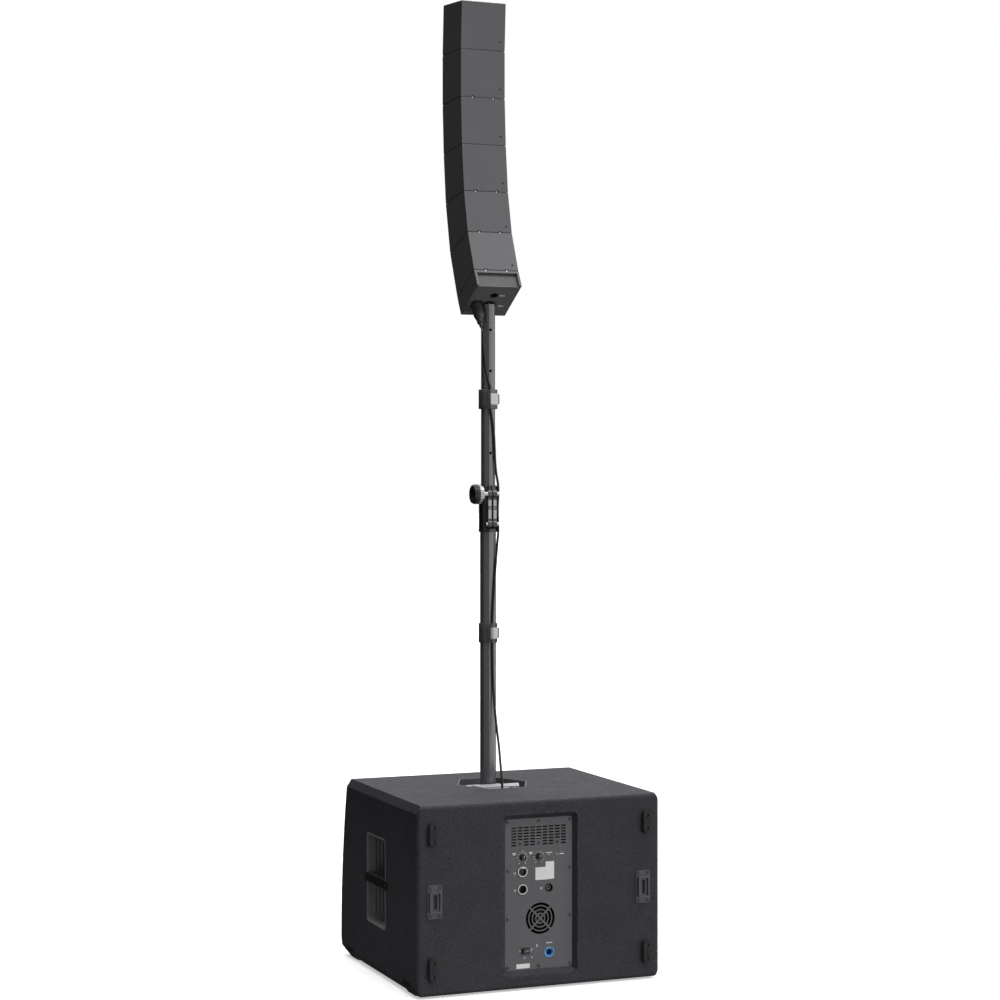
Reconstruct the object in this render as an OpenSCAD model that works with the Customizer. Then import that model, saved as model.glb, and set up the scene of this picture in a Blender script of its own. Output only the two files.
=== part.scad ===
// Portable column loudspeaker: a powered bass cabinet, a telescopic pole with a clamp, and a curved
// column of satellite units on an adapter, joined by one speaker cable. Rear is +Y, up is +Z.

/* [Cabinet] */
// Width of the wooden cabinet
cab_w = 620; // [600:2:640]
// Height of the wooden cabinet without its feet
cab_h = 442; // [440:1:446]
// Depth from the bulge of the front to the rear panel
cab_d = 559; // [555:1:565]
// Thickness of the plywood
wall = 18; // [17:1:19]
// How far the feet hold the cabinet off the floor
foot_drop = 4; // [3:0.5:6]
// Radius of the curved front, seen from the side
front_r = 1676; // [1650:10:1700]
// Round between the curved front and the underside
toe_r = 44; // [42:1:46]
// Width of the bevel along the long side edges
bevel_w = 11; // [9:1:13]
// Height of the bevel along the long side edges
bevel_h = 19; // [17:1:21]
// Round on the rear edges
rear_r = 10; // [6:1:12]
// Length of each handle opening, front to rear
cup_l = 131; // [125:1:135]
// Height of each handle opening
cup_h = 210; // [200:1:215]
// Depth of each handle cup
cup_d = 80; // [60:1:90]
// Radius of the bass driver's frame
woofer_r = 188; // [180:1:188]

/* [Amplifier] */
// Width of the amplifier's front panel
panel_w = 172; // [170:1:174]
// Height of the amplifier's front panel
panel_h = 356; // [350:1:358]
// How far the panel sits inside the rear face
panel_inset = 12; // [10:1:13]
// Radius of the cooling fan
fan_r = 37; // [34:1:38]

/* [Pole] */
// Radius of the lower tube
lower_tube_r = 20; // [20:0.5:20]
// Radius of the upper tube
upper_tube_r = 17.5; // [17.5:0.5:17.5]
// Height on the pole's axis where it enters the adapter
pole_top_z = 1630; // [1600:5:1640]
// Height of the clamp's lower end
clamp_z = 1068; // [1060:1:1075]
// Height of the clamp
clamp_h = 116; // [110:1:120]
// Radius of the M20 thread at its pitch line
thread_r = 9.2; // [9.1:0.1:9.3]
// Radius of the cable straps
strap_r = 23.5; // [23.5:0.5:24]

/* [Column] */
// Width of every satellite unit
sat_w = 118; // [116:1:120]
// Depth of every satellite unit
sat_d = 130; // [128:1:132]
// Front height of a module in a double unit
double_h = 127; // [126:1:128]
// Front height of a single unit
single_h = 130; // [129:1:131]
// Front height of the adapter
adapter_h = 49; // [49:1:51]
// Wedge angle of a module in a double unit
double_wedge = 3.4; // [3:0.1:3.6]
// Wedge angle of a single unit
single_wedge = 10; // [9.5:0.1:10]
// Wedge angle of the adapter
adapter_wedge = 2; // [1.8:0.1:2.2]
// Tilt of the adapter's underside
adapter_tilt = 30.6; // [30:0.1:31]

/* [Cable] */
// Radius of the speaker cable
cable_r = 3; // [3:0.1:3.2]

/* [Hidden] */
$fn = 48;
eps = 1;
run_gap = 0.06;
slide_gap = 0.3;

half_w = cab_w / 2;
rear_foot_t = 10;
front_y = -(cab_d + rear_foot_t) / 2;
rear_y = front_y + cab_d;
base_z = foot_drop;
top_z = base_z + cab_h;
toe_z = base_z + toe_r;
inner_w = cab_w - 2 * wall;
lip_z = toe_z - 10;
baffle_y = front_y + 70;
woofer_z = lip_z + woofer_r + 2;
coil_r = 38;

cup_y = -14;
cup_z = 228;
cup_wall = 4;
bar_l = 171;
bar_h = 21;
bar_proud = 2;
rib_count = 6;
rib_pitch = 9;
bar_t = 14;
screw_hole_r = 2.2;

panel_z = 223.5;
panel_y = rear_y - panel_inset;
panel_t = 3;
panel_corner = 9;
tray_w = 196;
tray_h = 384;
tray_d = 40;
knob_x = 41.8;
knob_z = panel_z + 87;
knob_hole_r = 3.2;
socket_x = -26.6;
xlr_x = 41.5;
xlr_in_z = panel_z + 53;
xlr_out_z = panel_z + 11.5;
fan_x = -4;
fan_z = panel_z - 59.5;
fan_shaft_r = 2;
rocker_x = 34;
rocker_z = panel_z - 134;
rocker_tilt = 12;
pin_r = 1.5;
inlet_z = panel_z - 140.5;
vent_pitch = 15.9;
vent_row = 6.8;
connector_r = 12;
speaker_r = 9.8;
rim = 1.4;

pole_y = -59.5;
dish_y = pole_y + 27;
dish_depth = 16;
dish_wall = 4;
dish_floor = top_z - dish_depth;
pocket_x = 5;
pocket_w = 66;
pocket_front = pole_y + 70;
pocket_rear = pole_y + 125;
pocket_depth = 66;
plug_y = pole_y + 106;
plate_t = 4;
plate_top = dish_floor + plate_t;
lower_tube_top = clamp_z + clamp_h - 34;
upper_tube_bottom = 900;
clamp_r = 23;
lug_y = 26;
stud_r = 3.2;
bolt_z = [clamp_z + 19, clamp_z + 94];
hole_pitch = 102;
top_hole_z = 1570;
tube_end_z = pole_top_z + 4;

strap_h = 48;
upper_strap_z = 1374;
lower_strap_z = 793;
cable_gap = 0.8;

sat_wall = 4;
hook_x = 28;
groove = 2.6;
joint_gap = 0.05;

// Wedge, front height and unit name order of the column, counted from the adapter up
heights = [adapter_h, single_h, single_h, double_h, double_h, double_h, double_h];
wedges = [adapter_wedge, single_wedge, single_wedge, double_wedge, double_wedge, double_wedge, double_wedge];
pole_entry = 40;
column_y = pole_y - pole_entry * cos(adapter_tilt);
column_z = pole_top_z - pole_entry * sin(adapter_tilt);

// Tilt of the joint under stage k, and the middle tilt of stage k
function seam_tilt(k) = k == 0 ? adapter_tilt : seam_tilt(k - 1) - wedges[k - 1];
function stage_tilt(k) = seam_tilt(k) - wedges[k] / 2;
// Front corner, in Y and Z, of the joint under stage k
function corner(k) = k == 0 ? [column_y, column_z]
    : corner(k - 1) + heights[k - 1] * [-sin(stage_tilt(k - 1)), cos(stage_tilt(k - 1))];

plug_x = 34;
plug_u = 48;
tilt_hole_u = 86;
screw_x = 50;
screw_u = [15, 118];

// Cable plug: length from its shoulder to the end of its boot, and to the seat of the cable inside
plug_l = 66;
seat_l = 43;
flange_t = 2.5;

// Point in the adapter's underside frame, relative to the pole's axis: across, rearward and inward
function under_point(x, u, w) = [
    x, (u - pole_entry) * cos(adapter_tilt) - w * sin(adapter_tilt),
    column_z + u * sin(adapter_tilt) + w * cos(adapter_tilt)
];
// Point of a plug's axis, at a distance from its shoulder
function lower_plug_point(l) = [pocket_x, plug_y - pole_y, dish_floor - pocket_depth + flange_t + l];
function upper_plug_point(l) = under_point(plug_x, plug_u, -flange_t - l);

// The cable's route from the lower plug up to the upper plug, relative to the pole's axis
cable_route = [
    lower_plug_point(seat_l), lower_plug_point(plug_l), lower_plug_point(plug_l + 18),
    [4.5, 101, 470], [2.5, 89, 498], [-1.5, 71, 532], [-4.5, 52, 568], [-6, 36, 608],
    [-5, 26.8, 658], [-4.2, 24.2, 690], [-3.2, 24.4, 720], [-2.1, 25, 783], [-2.1, 25, 816],
    [-2.1, 25, 850], [-4.8, 23, 895], [-8.8, 21.4, 946], [-13.3, 19.4, 996], [-17.2, 19.2, 1040],
    [-19.8, 19, 1066], [-20.8, 16.4, 1087], [-17.6, 20.2, 1125], [-20.8, 16.4, 1162],
    [-19.8, 17.4, 1187], [-15, 16.8, 1215], [-11.8, 17.6, 1246], [-9.7, 19, 1284], [-7.4, 20, 1315],
    [-2.4, 21.4, 1350], [2.6, 21.3, 1376], [2.6, 21.3, 1400], [2.6, 21.3, 1424], [8.4, 21.6, 1444],
    [12.5, 23, 1458], [17, 26.5, 1473], [21, 31, 1488], [24.5, 35.5, 1503], [28, 40, 1518],
    [31.5, 44.5, 1532], [33.6, 48.2, 1546],
    upper_plug_point(plug_l + 18), upper_plug_point(plug_l), upper_plug_point(seat_l)
];
cable_steps = 2;
cable_sides = 8;

// ---------- shared shapes ----------

// Extrudes an outline drawn in Y and Z along X, centred
module along_x(length) rotate([90, 0, 90]) linear_extrude(length, center = true) children();

// Extrudes an outline drawn in X and Z along Y, from y_low upward
module along_y(y_low, length)
    translate([0, y_low + length, 0]) rotate([90, 0, 0]) linear_extrude(length) children();

module rod_x(r, x_low, length) translate([x_low, 0, 0]) rotate([0, 90, 0]) cylinder(r = r, h = length);
module rod_y(r, y_low, length) translate([0, y_low, 0]) rotate([-90, 0, 0]) cylinder(r = r, h = length);

module block(low, high) translate(low) cube(high - low);

// Centred rectangle with true round corners
module round_rect(w, h, r) {
    square([w - 2 * r, h], center = true);
    square([w, h - 2 * r], center = true);
    for (x = [-1, 1], y = [-1, 1]) translate([x * (w / 2 - r), y * (h / 2 - r)]) circle(r);
}

module ring(r_out, r_in, h) difference() {
    cylinder(r = r_out, h = h);
    translate([0, 0, -eps]) cylinder(r = r_in, h = h + 2 * eps);
}

module both_sides() for (s = [0, 1]) mirror([s, 0, 0]) children();

// ---------- cabinet ----------

// Corner waste left when a square corner is rounded, with the corner at the origin
module corner_waste(r) difference() {
    translate([-eps, -eps]) square([r + eps, r + eps]);
    translate([r, r]) circle(r);
}

module cabinet_side() intersection() {
    difference() {
        translate([front_y, base_z]) square([cab_d, cab_h]);
        translate([front_y, base_z]) corner_waste(toe_r);
        translate([rear_y, base_z]) mirror([1, 0]) corner_waste(rear_r);
        translate([rear_y, top_z]) rotate(180) corner_waste(rear_r);
    }
    translate([front_y + front_r, toe_z]) circle(front_r, $fn = 720);
}

module cabinet_outline() polygon([
    [-half_w, base_z + bevel_h], [-half_w + bevel_w, base_z], [half_w - bevel_w, base_z],
    [half_w, base_z + bevel_h], [half_w, top_z - bevel_h], [half_w - bevel_w, top_z],
    [-half_w + bevel_w, top_z], [-half_w, top_z - bevel_h]
]);

module dish_outline(inset) {
    polygon([
        [-50 + inset / 2, -98 + inset], [50 - inset / 2, -98 + inset], [93 - inset, 0],
        [50 - inset / 2, 98 - inset], [-50 + inset / 2, 98 - inset], [-93 + inset, 0]
    ]);
}

module cup_opening(margin) round_rect(cup_l + 2 * margin, cup_h + 2 * margin, 8 + margin);

module cabinet_shell() color([0.16, 0.16, 0.17]) difference() {
    intersection() {
        along_x(cab_w) cabinet_side();
        along_y(front_y, cab_d) cabinet_outline();
        translate([0, 0, base_z]) linear_extrude(cab_h) difference() {
            translate([-half_w, front_y]) square([cab_w, cab_d]);
            for (s = [0, 1]) mirror([s, 0]) translate([half_w, rear_y]) rotate(180) corner_waste(rear_r);
        }
    }
    block([-inner_w / 2, baffle_y, base_z + wall], [inner_w / 2, rear_y - wall, top_z - wall]);
    block([-inner_w / 2, front_y - eps, lip_z], [inner_w / 2, baffle_y + eps, top_z - wall]);
    translate([0, cup_y, cup_z]) along_x(cab_w + 2) cup_opening(cup_wall);
    translate([0, 0, panel_z]) along_y(rear_y - wall - eps, wall + 2 * eps) round_rect(tray_w, tray_h, 14);
    translate([0, dish_y, top_z - wall - eps]) linear_extrude(wall + 2 * eps) dish_outline(0);
    cabinet_screw_places() rod_y(screw_hole_r, -17, 17);
}

module baffle() color([0.2, 0.17, 0.14]) difference() {
    block([-inner_w / 2, baffle_y, base_z + wall], [inner_w / 2, baffle_y + wall, top_z - wall]);
    translate([0, 0, woofer_z]) rod_y(woofer_r - 14, baffle_y - eps, wall + 2 * eps);
}

// Two upright braces that tie the cabinet's top and bottom, behind the bass driver
module cabinet_brace() color([0.5, 0.4, 0.28]) both_sides() difference() {
    block([150, baffle_y + wall, base_z + wall], [162, 20, top_z - wall]);
    for (z = [130, 230, 330]) translate([0, -100, z]) rod_x(36, 149, 14);
    block([149, baffle_y, woofer_z - 125], [163, baffle_y + 60, woofer_z + 125]);
}

module front_grille() color([0.1, 0.1, 0.11]) along_x(inner_w) intersection() {
    translate([front_y + front_r, toe_z]) difference() {
        circle(front_r - 1, $fn = 720);
        circle(front_r - 3, $fn = 720);
    }
    translate([front_y, lip_z + 0.5]) square([60, top_z - wall - lip_z - 1]);
}

module woofer_basket() color([0.22, 0.22, 0.23]) translate([0, baffle_y, woofer_z]) rotate([-90, 0, 0])
    difference() {
        rotate_extrude() polygon([
            [165, -8], [woofer_r, -8], [woofer_r, 0], [173, 0], [173, 20], [80, 112], [80, 116], [60, 116],
            [60, 112], [77, 108], [169, 18], [165, 0]
        ]);
        for (a = [0, 60, 120]) rotate(a) translate([-150, -22, 36]) cube([300, 44, 56]);
    }

module woofer_magnet() color([0.3, 0.3, 0.32]) translate([0, baffle_y + 116, woofer_z]) rotate([-90, 0, 0])
    difference() {
        union() {
            cylinder(r = 76, h = 8);
            translate([0, 0, 8]) cylinder(r = 90, h = 24);
            translate([0, 0, 32]) cylinder(r = 76, h = 8);
        }
        translate([0, 0, -eps]) cylinder(r = 16, h = 42);
        translate([0, 0, -eps]) ring(coil_r + 2.5, coil_r - 1.5, 18 + eps);
    }

// Cone, half-roll surround and dust cap, which travel together
module woofer_cone() color([0.13, 0.13, 0.13]) translate([0, baffle_y, woofer_z]) rotate([-90, 0, 0])
    rotate_extrude() {
        translate([151.5, -8]) difference() {
            circle(12);
            circle(9.5);
            translate([-14, 0]) square([28, 14]);
        }
        polygon([[140, -8], [143, -8], [143, -4], [51, 64], [38, 64], [38, 50], [49, 50], [140, -12]]);
        polygon([[0, 36], [20, 40], [50, 50], [50, 53], [20, 43], [0, 39]]);
        translate([coil_r, 60]) square([1.2, 64]);
    }

module side_ports() color([0.2, 0.2, 0.21]) both_sides() translate([0, cup_y, cup_z]) {
    difference() {
        translate([half_w - cup_d / 2, 0, 0]) along_x(cup_d) cup_opening(cup_wall);
        translate([half_w - cup_d / 2 + cup_wall, 0, 0]) along_x(cup_d) cup_opening(0);
        translate([half_w - cup_d, 0, 0]) along_x(4 * cup_wall) round_rect(70, 150, 8);
    }
    for (i = [0:rib_count - 1], s = [-1, 1]) translate([half_w - 20 - i * rib_pitch, s * (cup_l / 2 - 0.5), 0])
        cube([3, 3, cup_h - 24], center = true);
}

module side_handles() color([0.12, 0.12, 0.13]) both_sides() translate([half_w, cup_y, cup_z]) difference() {
    union() {
        for (s = [-1, 1]) translate([bar_proud / 2, s * (bar_l / 2 - 9.5), 0])
            along_x(bar_proud) round_rect(19, bar_h, 5);
        translate([bar_proud - bar_t / 2, 0, 0]) along_x(bar_t) square([cup_l - 4, bar_h], center = true);
        translate([bar_proud / 2, 0, 0]) along_x(bar_proud) square([bar_l - 20, bar_h], center = true);
    }
    for (s = [-1, 1]) translate([0, s * (bar_l / 2 - 10), 0]) rod_x(screw_hole_r, -eps, bar_proud + 2 * eps);
}

module rear_foot_places() both_sides() for (z = [67.5, 379]) translate([273, 0, z]) children();

module rear_feet() color([0.09, 0.09, 0.09]) rear_foot_places() difference() {
    union() {
        along_y(rear_y, rear_foot_t - 3) round_rect(21, 56, 10.4);
        along_y(rear_y, rear_foot_t) round_rect(17, 52, 8.4);
    }
    for (z = [-16, 16]) translate([0, 0, z]) {
        rod_y(screw_hole_r, rear_y - eps, rear_foot_t + 2);
        rod_y(4.5, rear_y + 5, rear_foot_t);
    }
}

module bottom_foot_places() both_sides() for (y = [-213, 207]) translate([0, y, 0]) children();

module bottom_feet() color([0.07, 0.07, 0.07]) bottom_foot_places() difference() {
    translate([0, -27, 0]) along_y(0, 54) polygon([
        [half_w - 46, 0], [half_w - 12, 0], [half_w + 1.5, bevel_h + 1], [half_w + 1.5, bevel_h + 12],
        [half_w, bevel_h + 12], [half_w, base_z + bevel_h], [half_w - bevel_w, base_z], [half_w - 46, base_z]
    ]);
    translate([half_w - 33, 0, -eps]) cylinder(r = screw_hole_r, h = base_z + 2 * eps);
    translate([half_w - 33, 0, -eps]) cylinder(r = 5, h = 2 + eps);
}

module catch_places() both_sides() translate([266, 0, 223]) children();

module catch_plates() color([0.45, 0.45, 0.46]) catch_places() difference() {
    union() {
        along_y(rear_y, 1.5) round_rect(36, 78, 4);
        along_y(rear_y, 8) round_rect(28, 50, 4);
    }
    along_y(rear_y - eps, 12) round_rect(9, 34, 4);
    along_y(rear_y + 3, 12) round_rect(22, 42, 3);
    for (x = [-12, 12], z = [-33, 33]) translate([x, 0, z]) rod_y(screw_hole_r, rear_y - eps, 4);
}

// A wood screw's head and shank, pointing along -Y with the head's seat at the origin
module screw(head_r, head_t, shank_r, shank_l) {
    rod_y(head_r, 0, head_t);
    rod_y(shank_r, -shank_l, shank_l + eps);
}

// Heads' seats of the screws into the wood, with +Y outward: feet, catch plates, handle bars and bottom feet
module cabinet_screw_places() {
    rear_foot_places() for (z = [-16, 16]) translate([0, rear_y + 5, z]) children();
    catch_places() for (x = [-12, 12], z = [-33, 33]) translate([x, rear_y + 1.5, z]) children();
    both_sides() for (s = [-1, 1]) translate([half_w + bar_proud, cup_y + s * (bar_l / 2 - 10), cup_z])
        rotate(-90) children();
    bottom_foot_places() translate([half_w - 33, 0, 2]) rotate([-90, 0, 0]) children();
}

module cabinet_screws() color([0.3, 0.3, 0.31]) cabinet_screw_places() screw(4, 1.5, screw_hole_r - 0.1, 14);

module top_dish() color([0.13, 0.13, 0.14]) translate([0, dish_y, 0]) difference() {
    union() {
        translate([0, 0, dish_floor - dish_wall]) linear_extrude(dish_depth + dish_wall) dish_outline(0);
        block([pocket_x - pocket_w / 2 - 3, pocket_front - dish_y - 3, dish_floor - pocket_depth - 3],
              [pocket_x + pocket_w / 2 + 3, pocket_rear - dish_y, dish_floor - 2]);
    }
    translate([0, 0, dish_floor]) linear_extrude(dish_depth + eps) dish_outline(dish_wall);
    block([pocket_x - pocket_w / 2, pocket_front - dish_y, dish_floor - pocket_depth],
          [pocket_x + pocket_w / 2, pocket_rear - dish_y - dish_wall, dish_floor + eps]);
    translate([0, pole_y - dish_y, dish_floor - dish_wall - eps]) cylinder(r = 16.1, h = 2 * dish_wall);
    translate([pocket_x, plug_y - dish_y, dish_floor - pocket_depth - dish_wall]) cylinder(r = 12.1, h = 8);
}

// Steel plate with the threaded boss for the pole and a raised shelf over the plug pocket
module pole_flange() color([0.75, 0.75, 0.76]) translate([0, pole_y, 0]) difference() {
    union() {
        block([-45, -40, dish_floor], [45, 60, plate_top]);
        translate([0, 0, dish_floor - 34]) cylinder(r = 16, h = 35);
        both_sides() block([37, 48, plate_top - eps], [43, 58, top_z - 2]);
        translate([0, 0, top_z - 3]) linear_extrude(2.5) polygon([[-64, 44], [62, 44], [50, 92], [-46, 92]]);
    }
    translate([0, 0, dish_floor - 35]) cylinder(r = thread_r, h = 50);
}

// Four-pole chassis connector with its mouth along +Z and its flange seated at the origin
module chassis_socket(depth) difference() {
    union() {
        linear_extrude(flange_t) round_rect(26, 31, 3);
        translate([0, 0, -depth]) cylinder(r = connector_r, h = depth + eps);
    }
    translate([0, 0, -depth + 4]) cylinder(r = 10.6, h = depth);
    for (s = [-1, 1]) translate([s * 9.5, s * 12, -eps]) cylinder(r = 1.6, h = 5);
}

module dish_socket() color([0.1, 0.1, 0.1])
    translate([pocket_x, plug_y, dish_floor - pocket_depth]) rotate(90) chassis_socket(22);

// ---------- amplifier ----------

module amp_tray() color([0.14, 0.14, 0.15]) translate([0, 0, panel_z]) difference() {
    along_y(rear_y - tray_d, tray_d) round_rect(tray_w, tray_h, 14);
    along_y(panel_y - panel_t, panel_t + eps) round_rect(panel_w, panel_h, panel_corner);
    along_y(rear_y - tray_d - eps, tray_d) square([panel_w - 10, panel_h - 10], center = true);
    intersection() {
        translate([0, rear_y, 0]) linear_extrude(tray_h, center = true)
            polygon([[-panel_w / 2, -panel_inset], [panel_w / 2, -panel_inset], [panel_w / 2 + 10, eps],
                     [-panel_w / 2 - 10, eps]]);
        translate([0, rear_y, 0]) along_x(tray_w) polygon([
            [-panel_inset, -panel_h / 2], [eps, -panel_h / 2 - 12], [eps, panel_h / 2 + 12],
            [-panel_inset, panel_h / 2]
        ]);
        along_y(panel_y, panel_inset + eps) round_rect(panel_w + 20, panel_h + 24, 16);
    }
    for (p = panel_screw_places) translate([p[0], 0, p[1]]) rod_y(1.8, panel_y - 12, 12);
}

module vent_slots() for (column = [0:8], row = [0:6]) {
    short_column = column % 3 == 1 && row > 4;
    if (!short_column) translate([63.5 - column * vent_pitch, 156.5 - row * vent_row])
        square([12.2, 3.4], center = true);
}

// Arc slots of the fan guard, broken by an X of spokes
module fan_slots() difference() {
    for (i = [0:3]) difference() {
        circle(fan_r - i * 9);
        circle(fan_r - i * 9 - 6);
    }
    for (a = [45, 135]) rotate(a) square([2.4 * fan_r, 4.5], center = true);
}

panel_screw_places = concat(
    [for (x = [-80, 0, 80], z = [-170.5, 170.5]) [x, z]],
    [for (x = [-80, 80], z = [-56.5, 56.5]) [x, z]],
    [for (x = [-47.6, 0, 47.6]) [x, 119]]
);

module amp_panel() color([0.2, 0.2, 0.21]) translate([0, 0, panel_z]) along_y(panel_y - panel_t, panel_t)
    difference() {
        round_rect(panel_w - 2 * joint_gap, panel_h - 2 * joint_gap, panel_corner);
        vent_slots();
        translate([fan_x, fan_z - panel_z]) fan_slots();
        for (p = panel_screw_places) translate(p) circle(1.8);
        for (x = [0, knob_x]) translate([x, knob_z - panel_z]) circle(knob_hole_r + run_gap);
        for (z = [xlr_in_z, xlr_out_z]) translate([xlr_x, z - panel_z]) circle(connector_r + 0.1);
        translate([socket_x, xlr_out_z - panel_z]) circle(speaker_r + 0.1);
        translate([socket_x, inlet_z - panel_z]) circle(connector_r + 0.1);
        translate([rocker_x, rocker_z - panel_z]) square([19.4, 13], center = true);
    }

module panel_screws() color([0.55, 0.55, 0.56]) for (p = panel_screw_places)
    translate([p[0], panel_y, panel_z + p[1]]) screw(3.2, 1.8, 1.7, 10);

module circuit_board() color([0.05, 0.25, 0.12]) {
    block([-78, panel_y - 62, 250], [78, panel_y - 60, 385]);
    for (x = [-50, -20, 10]) translate([x, 0, 350]) rod_y(9, panel_y - 60.5, 26);
    for (x = [-72, 72], z = [256, 379]) translate([x, 0, z]) rod_y(3, panel_y - 61, 61 - panel_t);
    for (x = [-60, -30, 0, 30]) block([x, panel_y - 61, 268], [x + 16, panel_y - 49, 290]);
}

module heat_sink() color([0.6, 0.6, 0.62]) {
    block([-70, panel_y - 104, 215], [70, panel_y - 98, 385]);
    for (i = [0:13]) translate([-67.5 + i * 10, panel_y - 99, 215]) cube([2.5, 37, 170]);
}

module power_supply() color([0.2, 0.22, 0.2]) {
    block([-70, panel_y - 92, 52], [70, panel_y - 90, 200]);
    translate([-22, 0, 130]) rod_y(34, panel_y - 90.5, 34);
    for (z = [80, 112]) translate([42, 0, z]) rod_y(14, panel_y - 90.5, 42);
    for (x = [-64, 64], z = [58, 194]) translate([x, 0, z]) rod_y(3, panel_y - 91, 91 - panel_t);
}

module fan_frame() color([0.08, 0.08, 0.08]) translate([fan_x, panel_y - panel_t - 25, fan_z]) {
    difference() {
        along_y(0, 25) round_rect(80, 80, 4);
        rod_y(fan_r + 0.5, -eps, 27);
    }
    difference() {
        rod_y(16, 0, 3);
        rod_y(fan_shaft_r + run_gap, -eps, 5);
    }
    for (a = [0:120:240]) rotate([0, a, 0]) block([14, 0, -2.5], [fan_r + 2, 3, 2.5]);
}

module fan_rotor() color([0.1, 0.1, 0.1]) translate([fan_x, panel_y - panel_t - 19, fan_z]) rotate([-90, 0, 0]) {
    cylinder(r = 15, h = 17);
    translate([0, 0, -6]) cylinder(r = fan_shaft_r, h = 7);
    for (i = [0:6]) rotate(i * 360 / 7) translate([0, -1, 2]) rotate([28, 0, 0]) cube([fan_r - 1.5, 1.6, 12]);
}

module panel_knob(x) translate([x, panel_y, knob_z]) {
    rod_y(knob_hole_r, -14, 15);
    difference() {
        union() {
            rod_y(7.4, 0.4, 3);
            rod_y(6, 3, 10);
        }
        for (i = [0:11]) rotate([0, 15 + i * 30, 0]) translate([6.3, 0, 0]) rod_y(0.7, 4, 12);
        block([-0.5, 11.8, 0], [0.5, 14, 7]);
    }
}

module level_knob() color([0.1, 0.1, 0.1]) panel_knob(knob_x);
module mode_knob() color([0.1, 0.1, 0.1]) panel_knob(0);

// Round connector body, with its square flange behind the panel and its rim just proud of it
module connector_body(r) {
    along_y(panel_y - panel_t - flange_t, flange_t) round_rect(26, 31, 3);
    rod_y(r, panel_y - 20, 20 + rim);
}

module xlr_input() color([0.12, 0.12, 0.12]) translate([xlr_x, 0, xlr_in_z]) difference() {
    connector_body(connector_r);
    rod_y(8.1, panel_y - 4, 10);
    for (a = [-90, 0, 90]) rotate([0, a, 0]) translate([4.2, 0, 0]) rod_y(1.2, panel_y - 14, 20);
    block([-4.3, panel_y - 4.2, 7.8], [4.3, panel_y + 5, 12.4]);
}

module xlr_latch() color([0.5, 0.5, 0.5]) translate([xlr_x, panel_y, xlr_in_z])
    block([-4, -1.7, 8.4], [4, 4.6, 11.2]);

module xlr_output() color([0.12, 0.12, 0.12]) translate([xlr_x, 0, xlr_out_z]) {
    difference() {
        connector_body(connector_r);
        rod_y(8.1, panel_y - 12, 20);
    }
    for (a = [-90, 0, 90]) rotate([0, a + 90, 0]) translate([4.2, 0, 0]) rod_y(1.1, panel_y - 13, 7.5);
}

module speaker_output() color([0.06, 0.06, 0.06]) translate([socket_x, 0, xlr_out_z]) difference() {
    connector_body(speaker_r);
    rod_y(8.4, panel_y - 4, 10);
    difference() {
        rod_y(8.4, panel_y - 16, 20);
        rod_y(5.2, panel_y - 17, 22);
    }
    rod_y(1.8, panel_y - 14, 20);
}

module power_inlet() color([0.15, 0.5, 0.85]) translate([socket_x, 0, inlet_z]) difference() {
    connector_body(connector_r);
    rod_y(10.2, panel_y - 4, 10);
    rod_y(7, panel_y - 14, 20);
}

module switch_bezel() color([0.08, 0.08, 0.08]) translate([rocker_x, 0, rocker_z]) difference() {
    union() {
        along_y(panel_y, 1.6) round_rect(22, 15.6, 1.5);
        along_y(panel_y - 18, 19) square([19, 12.6], center = true);
    }
    along_y(panel_y - 12, 20) square([17, 10.6], center = true);
    translate([0, panel_y - 4, -6]) cylinder(r = pin_r + run_gap, h = 12);
}

module power_rocker() color([0.1, 0.1, 0.1]) translate([rocker_x, panel_y - 4, rocker_z]) {
    rotate(rocker_tilt) translate([0, 0, -5]) linear_extrude(10)
        polygon([[-6.9, 1], [-4, -4], [4, -4], [6.9, 1], [6.9, 6.8], [0, 5.4], [-6.9, 6.8]]);
    translate([0, 0, -5.9]) cylinder(r = pin_r, h = 11.8);
}

// ---------- pole ----------

module on_pole() translate([0, pole_y, 0]) children();

module lower_tube() color([0.1, 0.1, 0.1]) on_pole() translate([0, 0, plate_top])
    ring(lower_tube_r, lower_tube_r - 2, lower_tube_top - plate_top);

module lower_stud() color([0.5, 0.5, 0.52]) on_pole() {
    translate([0, 0, dish_floor - 30]) cylinder(r = thread_r - 0.06, h = 60);
    translate([0, 0, plate_top]) cylinder(r = lower_tube_r - 2.05, h = 34);
}

module clamp_collar() color([0.09, 0.09, 0.1]) on_pole() difference() {
    union() {
        translate([0, 0, clamp_z]) cylinder(r = clamp_r + 0.8, h = 7);
        translate([0, 0, clamp_z + 6]) cylinder(r = clamp_r, h = clamp_h - 9);
        translate([0, 0, clamp_z + clamp_h - 4]) cylinder(r = clamp_r - 1.5, h = 4);
        for (z = bolt_z) translate([0, lug_y - 4, z]) rod_x(11, -12, 24);
        block([-12, 0, bolt_z[0]], [12, lug_y + 3, bolt_z[1]]);
    }
    translate([0, 0, clamp_z - eps]) cylinder(r = lower_tube_r + 0.05, h = lower_tube_top - clamp_z + eps);
    translate([0, 0, clamp_z]) cylinder(r = upper_tube_r + slide_gap, h = clamp_h + eps);
    block([-1.5, 10, clamp_z + 9], [1.5, lug_y + 12, clamp_z + clamp_h + eps]);
    for (z = bolt_z) translate([0, lug_y, z]) rod_x(stud_r, -13, 26);
    for (s = [-1, 1]) translate([s * 8.7, lug_y - 2, clamp_z + 33]) cube([2.6, 6, 42]);
}

module clamp_bolts() color([0.35, 0.35, 0.36]) on_pole() {
    translate([0, lug_y, bolt_z[0]]) {
        rod_x(5.5, -18, 6);
        rod_x(3, -13, 26);
        rotate([30, 0, 0]) rod_x(5.5, 12, 4, $fn = 6);
    }
    translate([0, lug_y, bolt_z[1]]) difference() {
        rod_x(6, -18, 6);
        rod_x(stud_r, -19, 10);
    }
}

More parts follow.
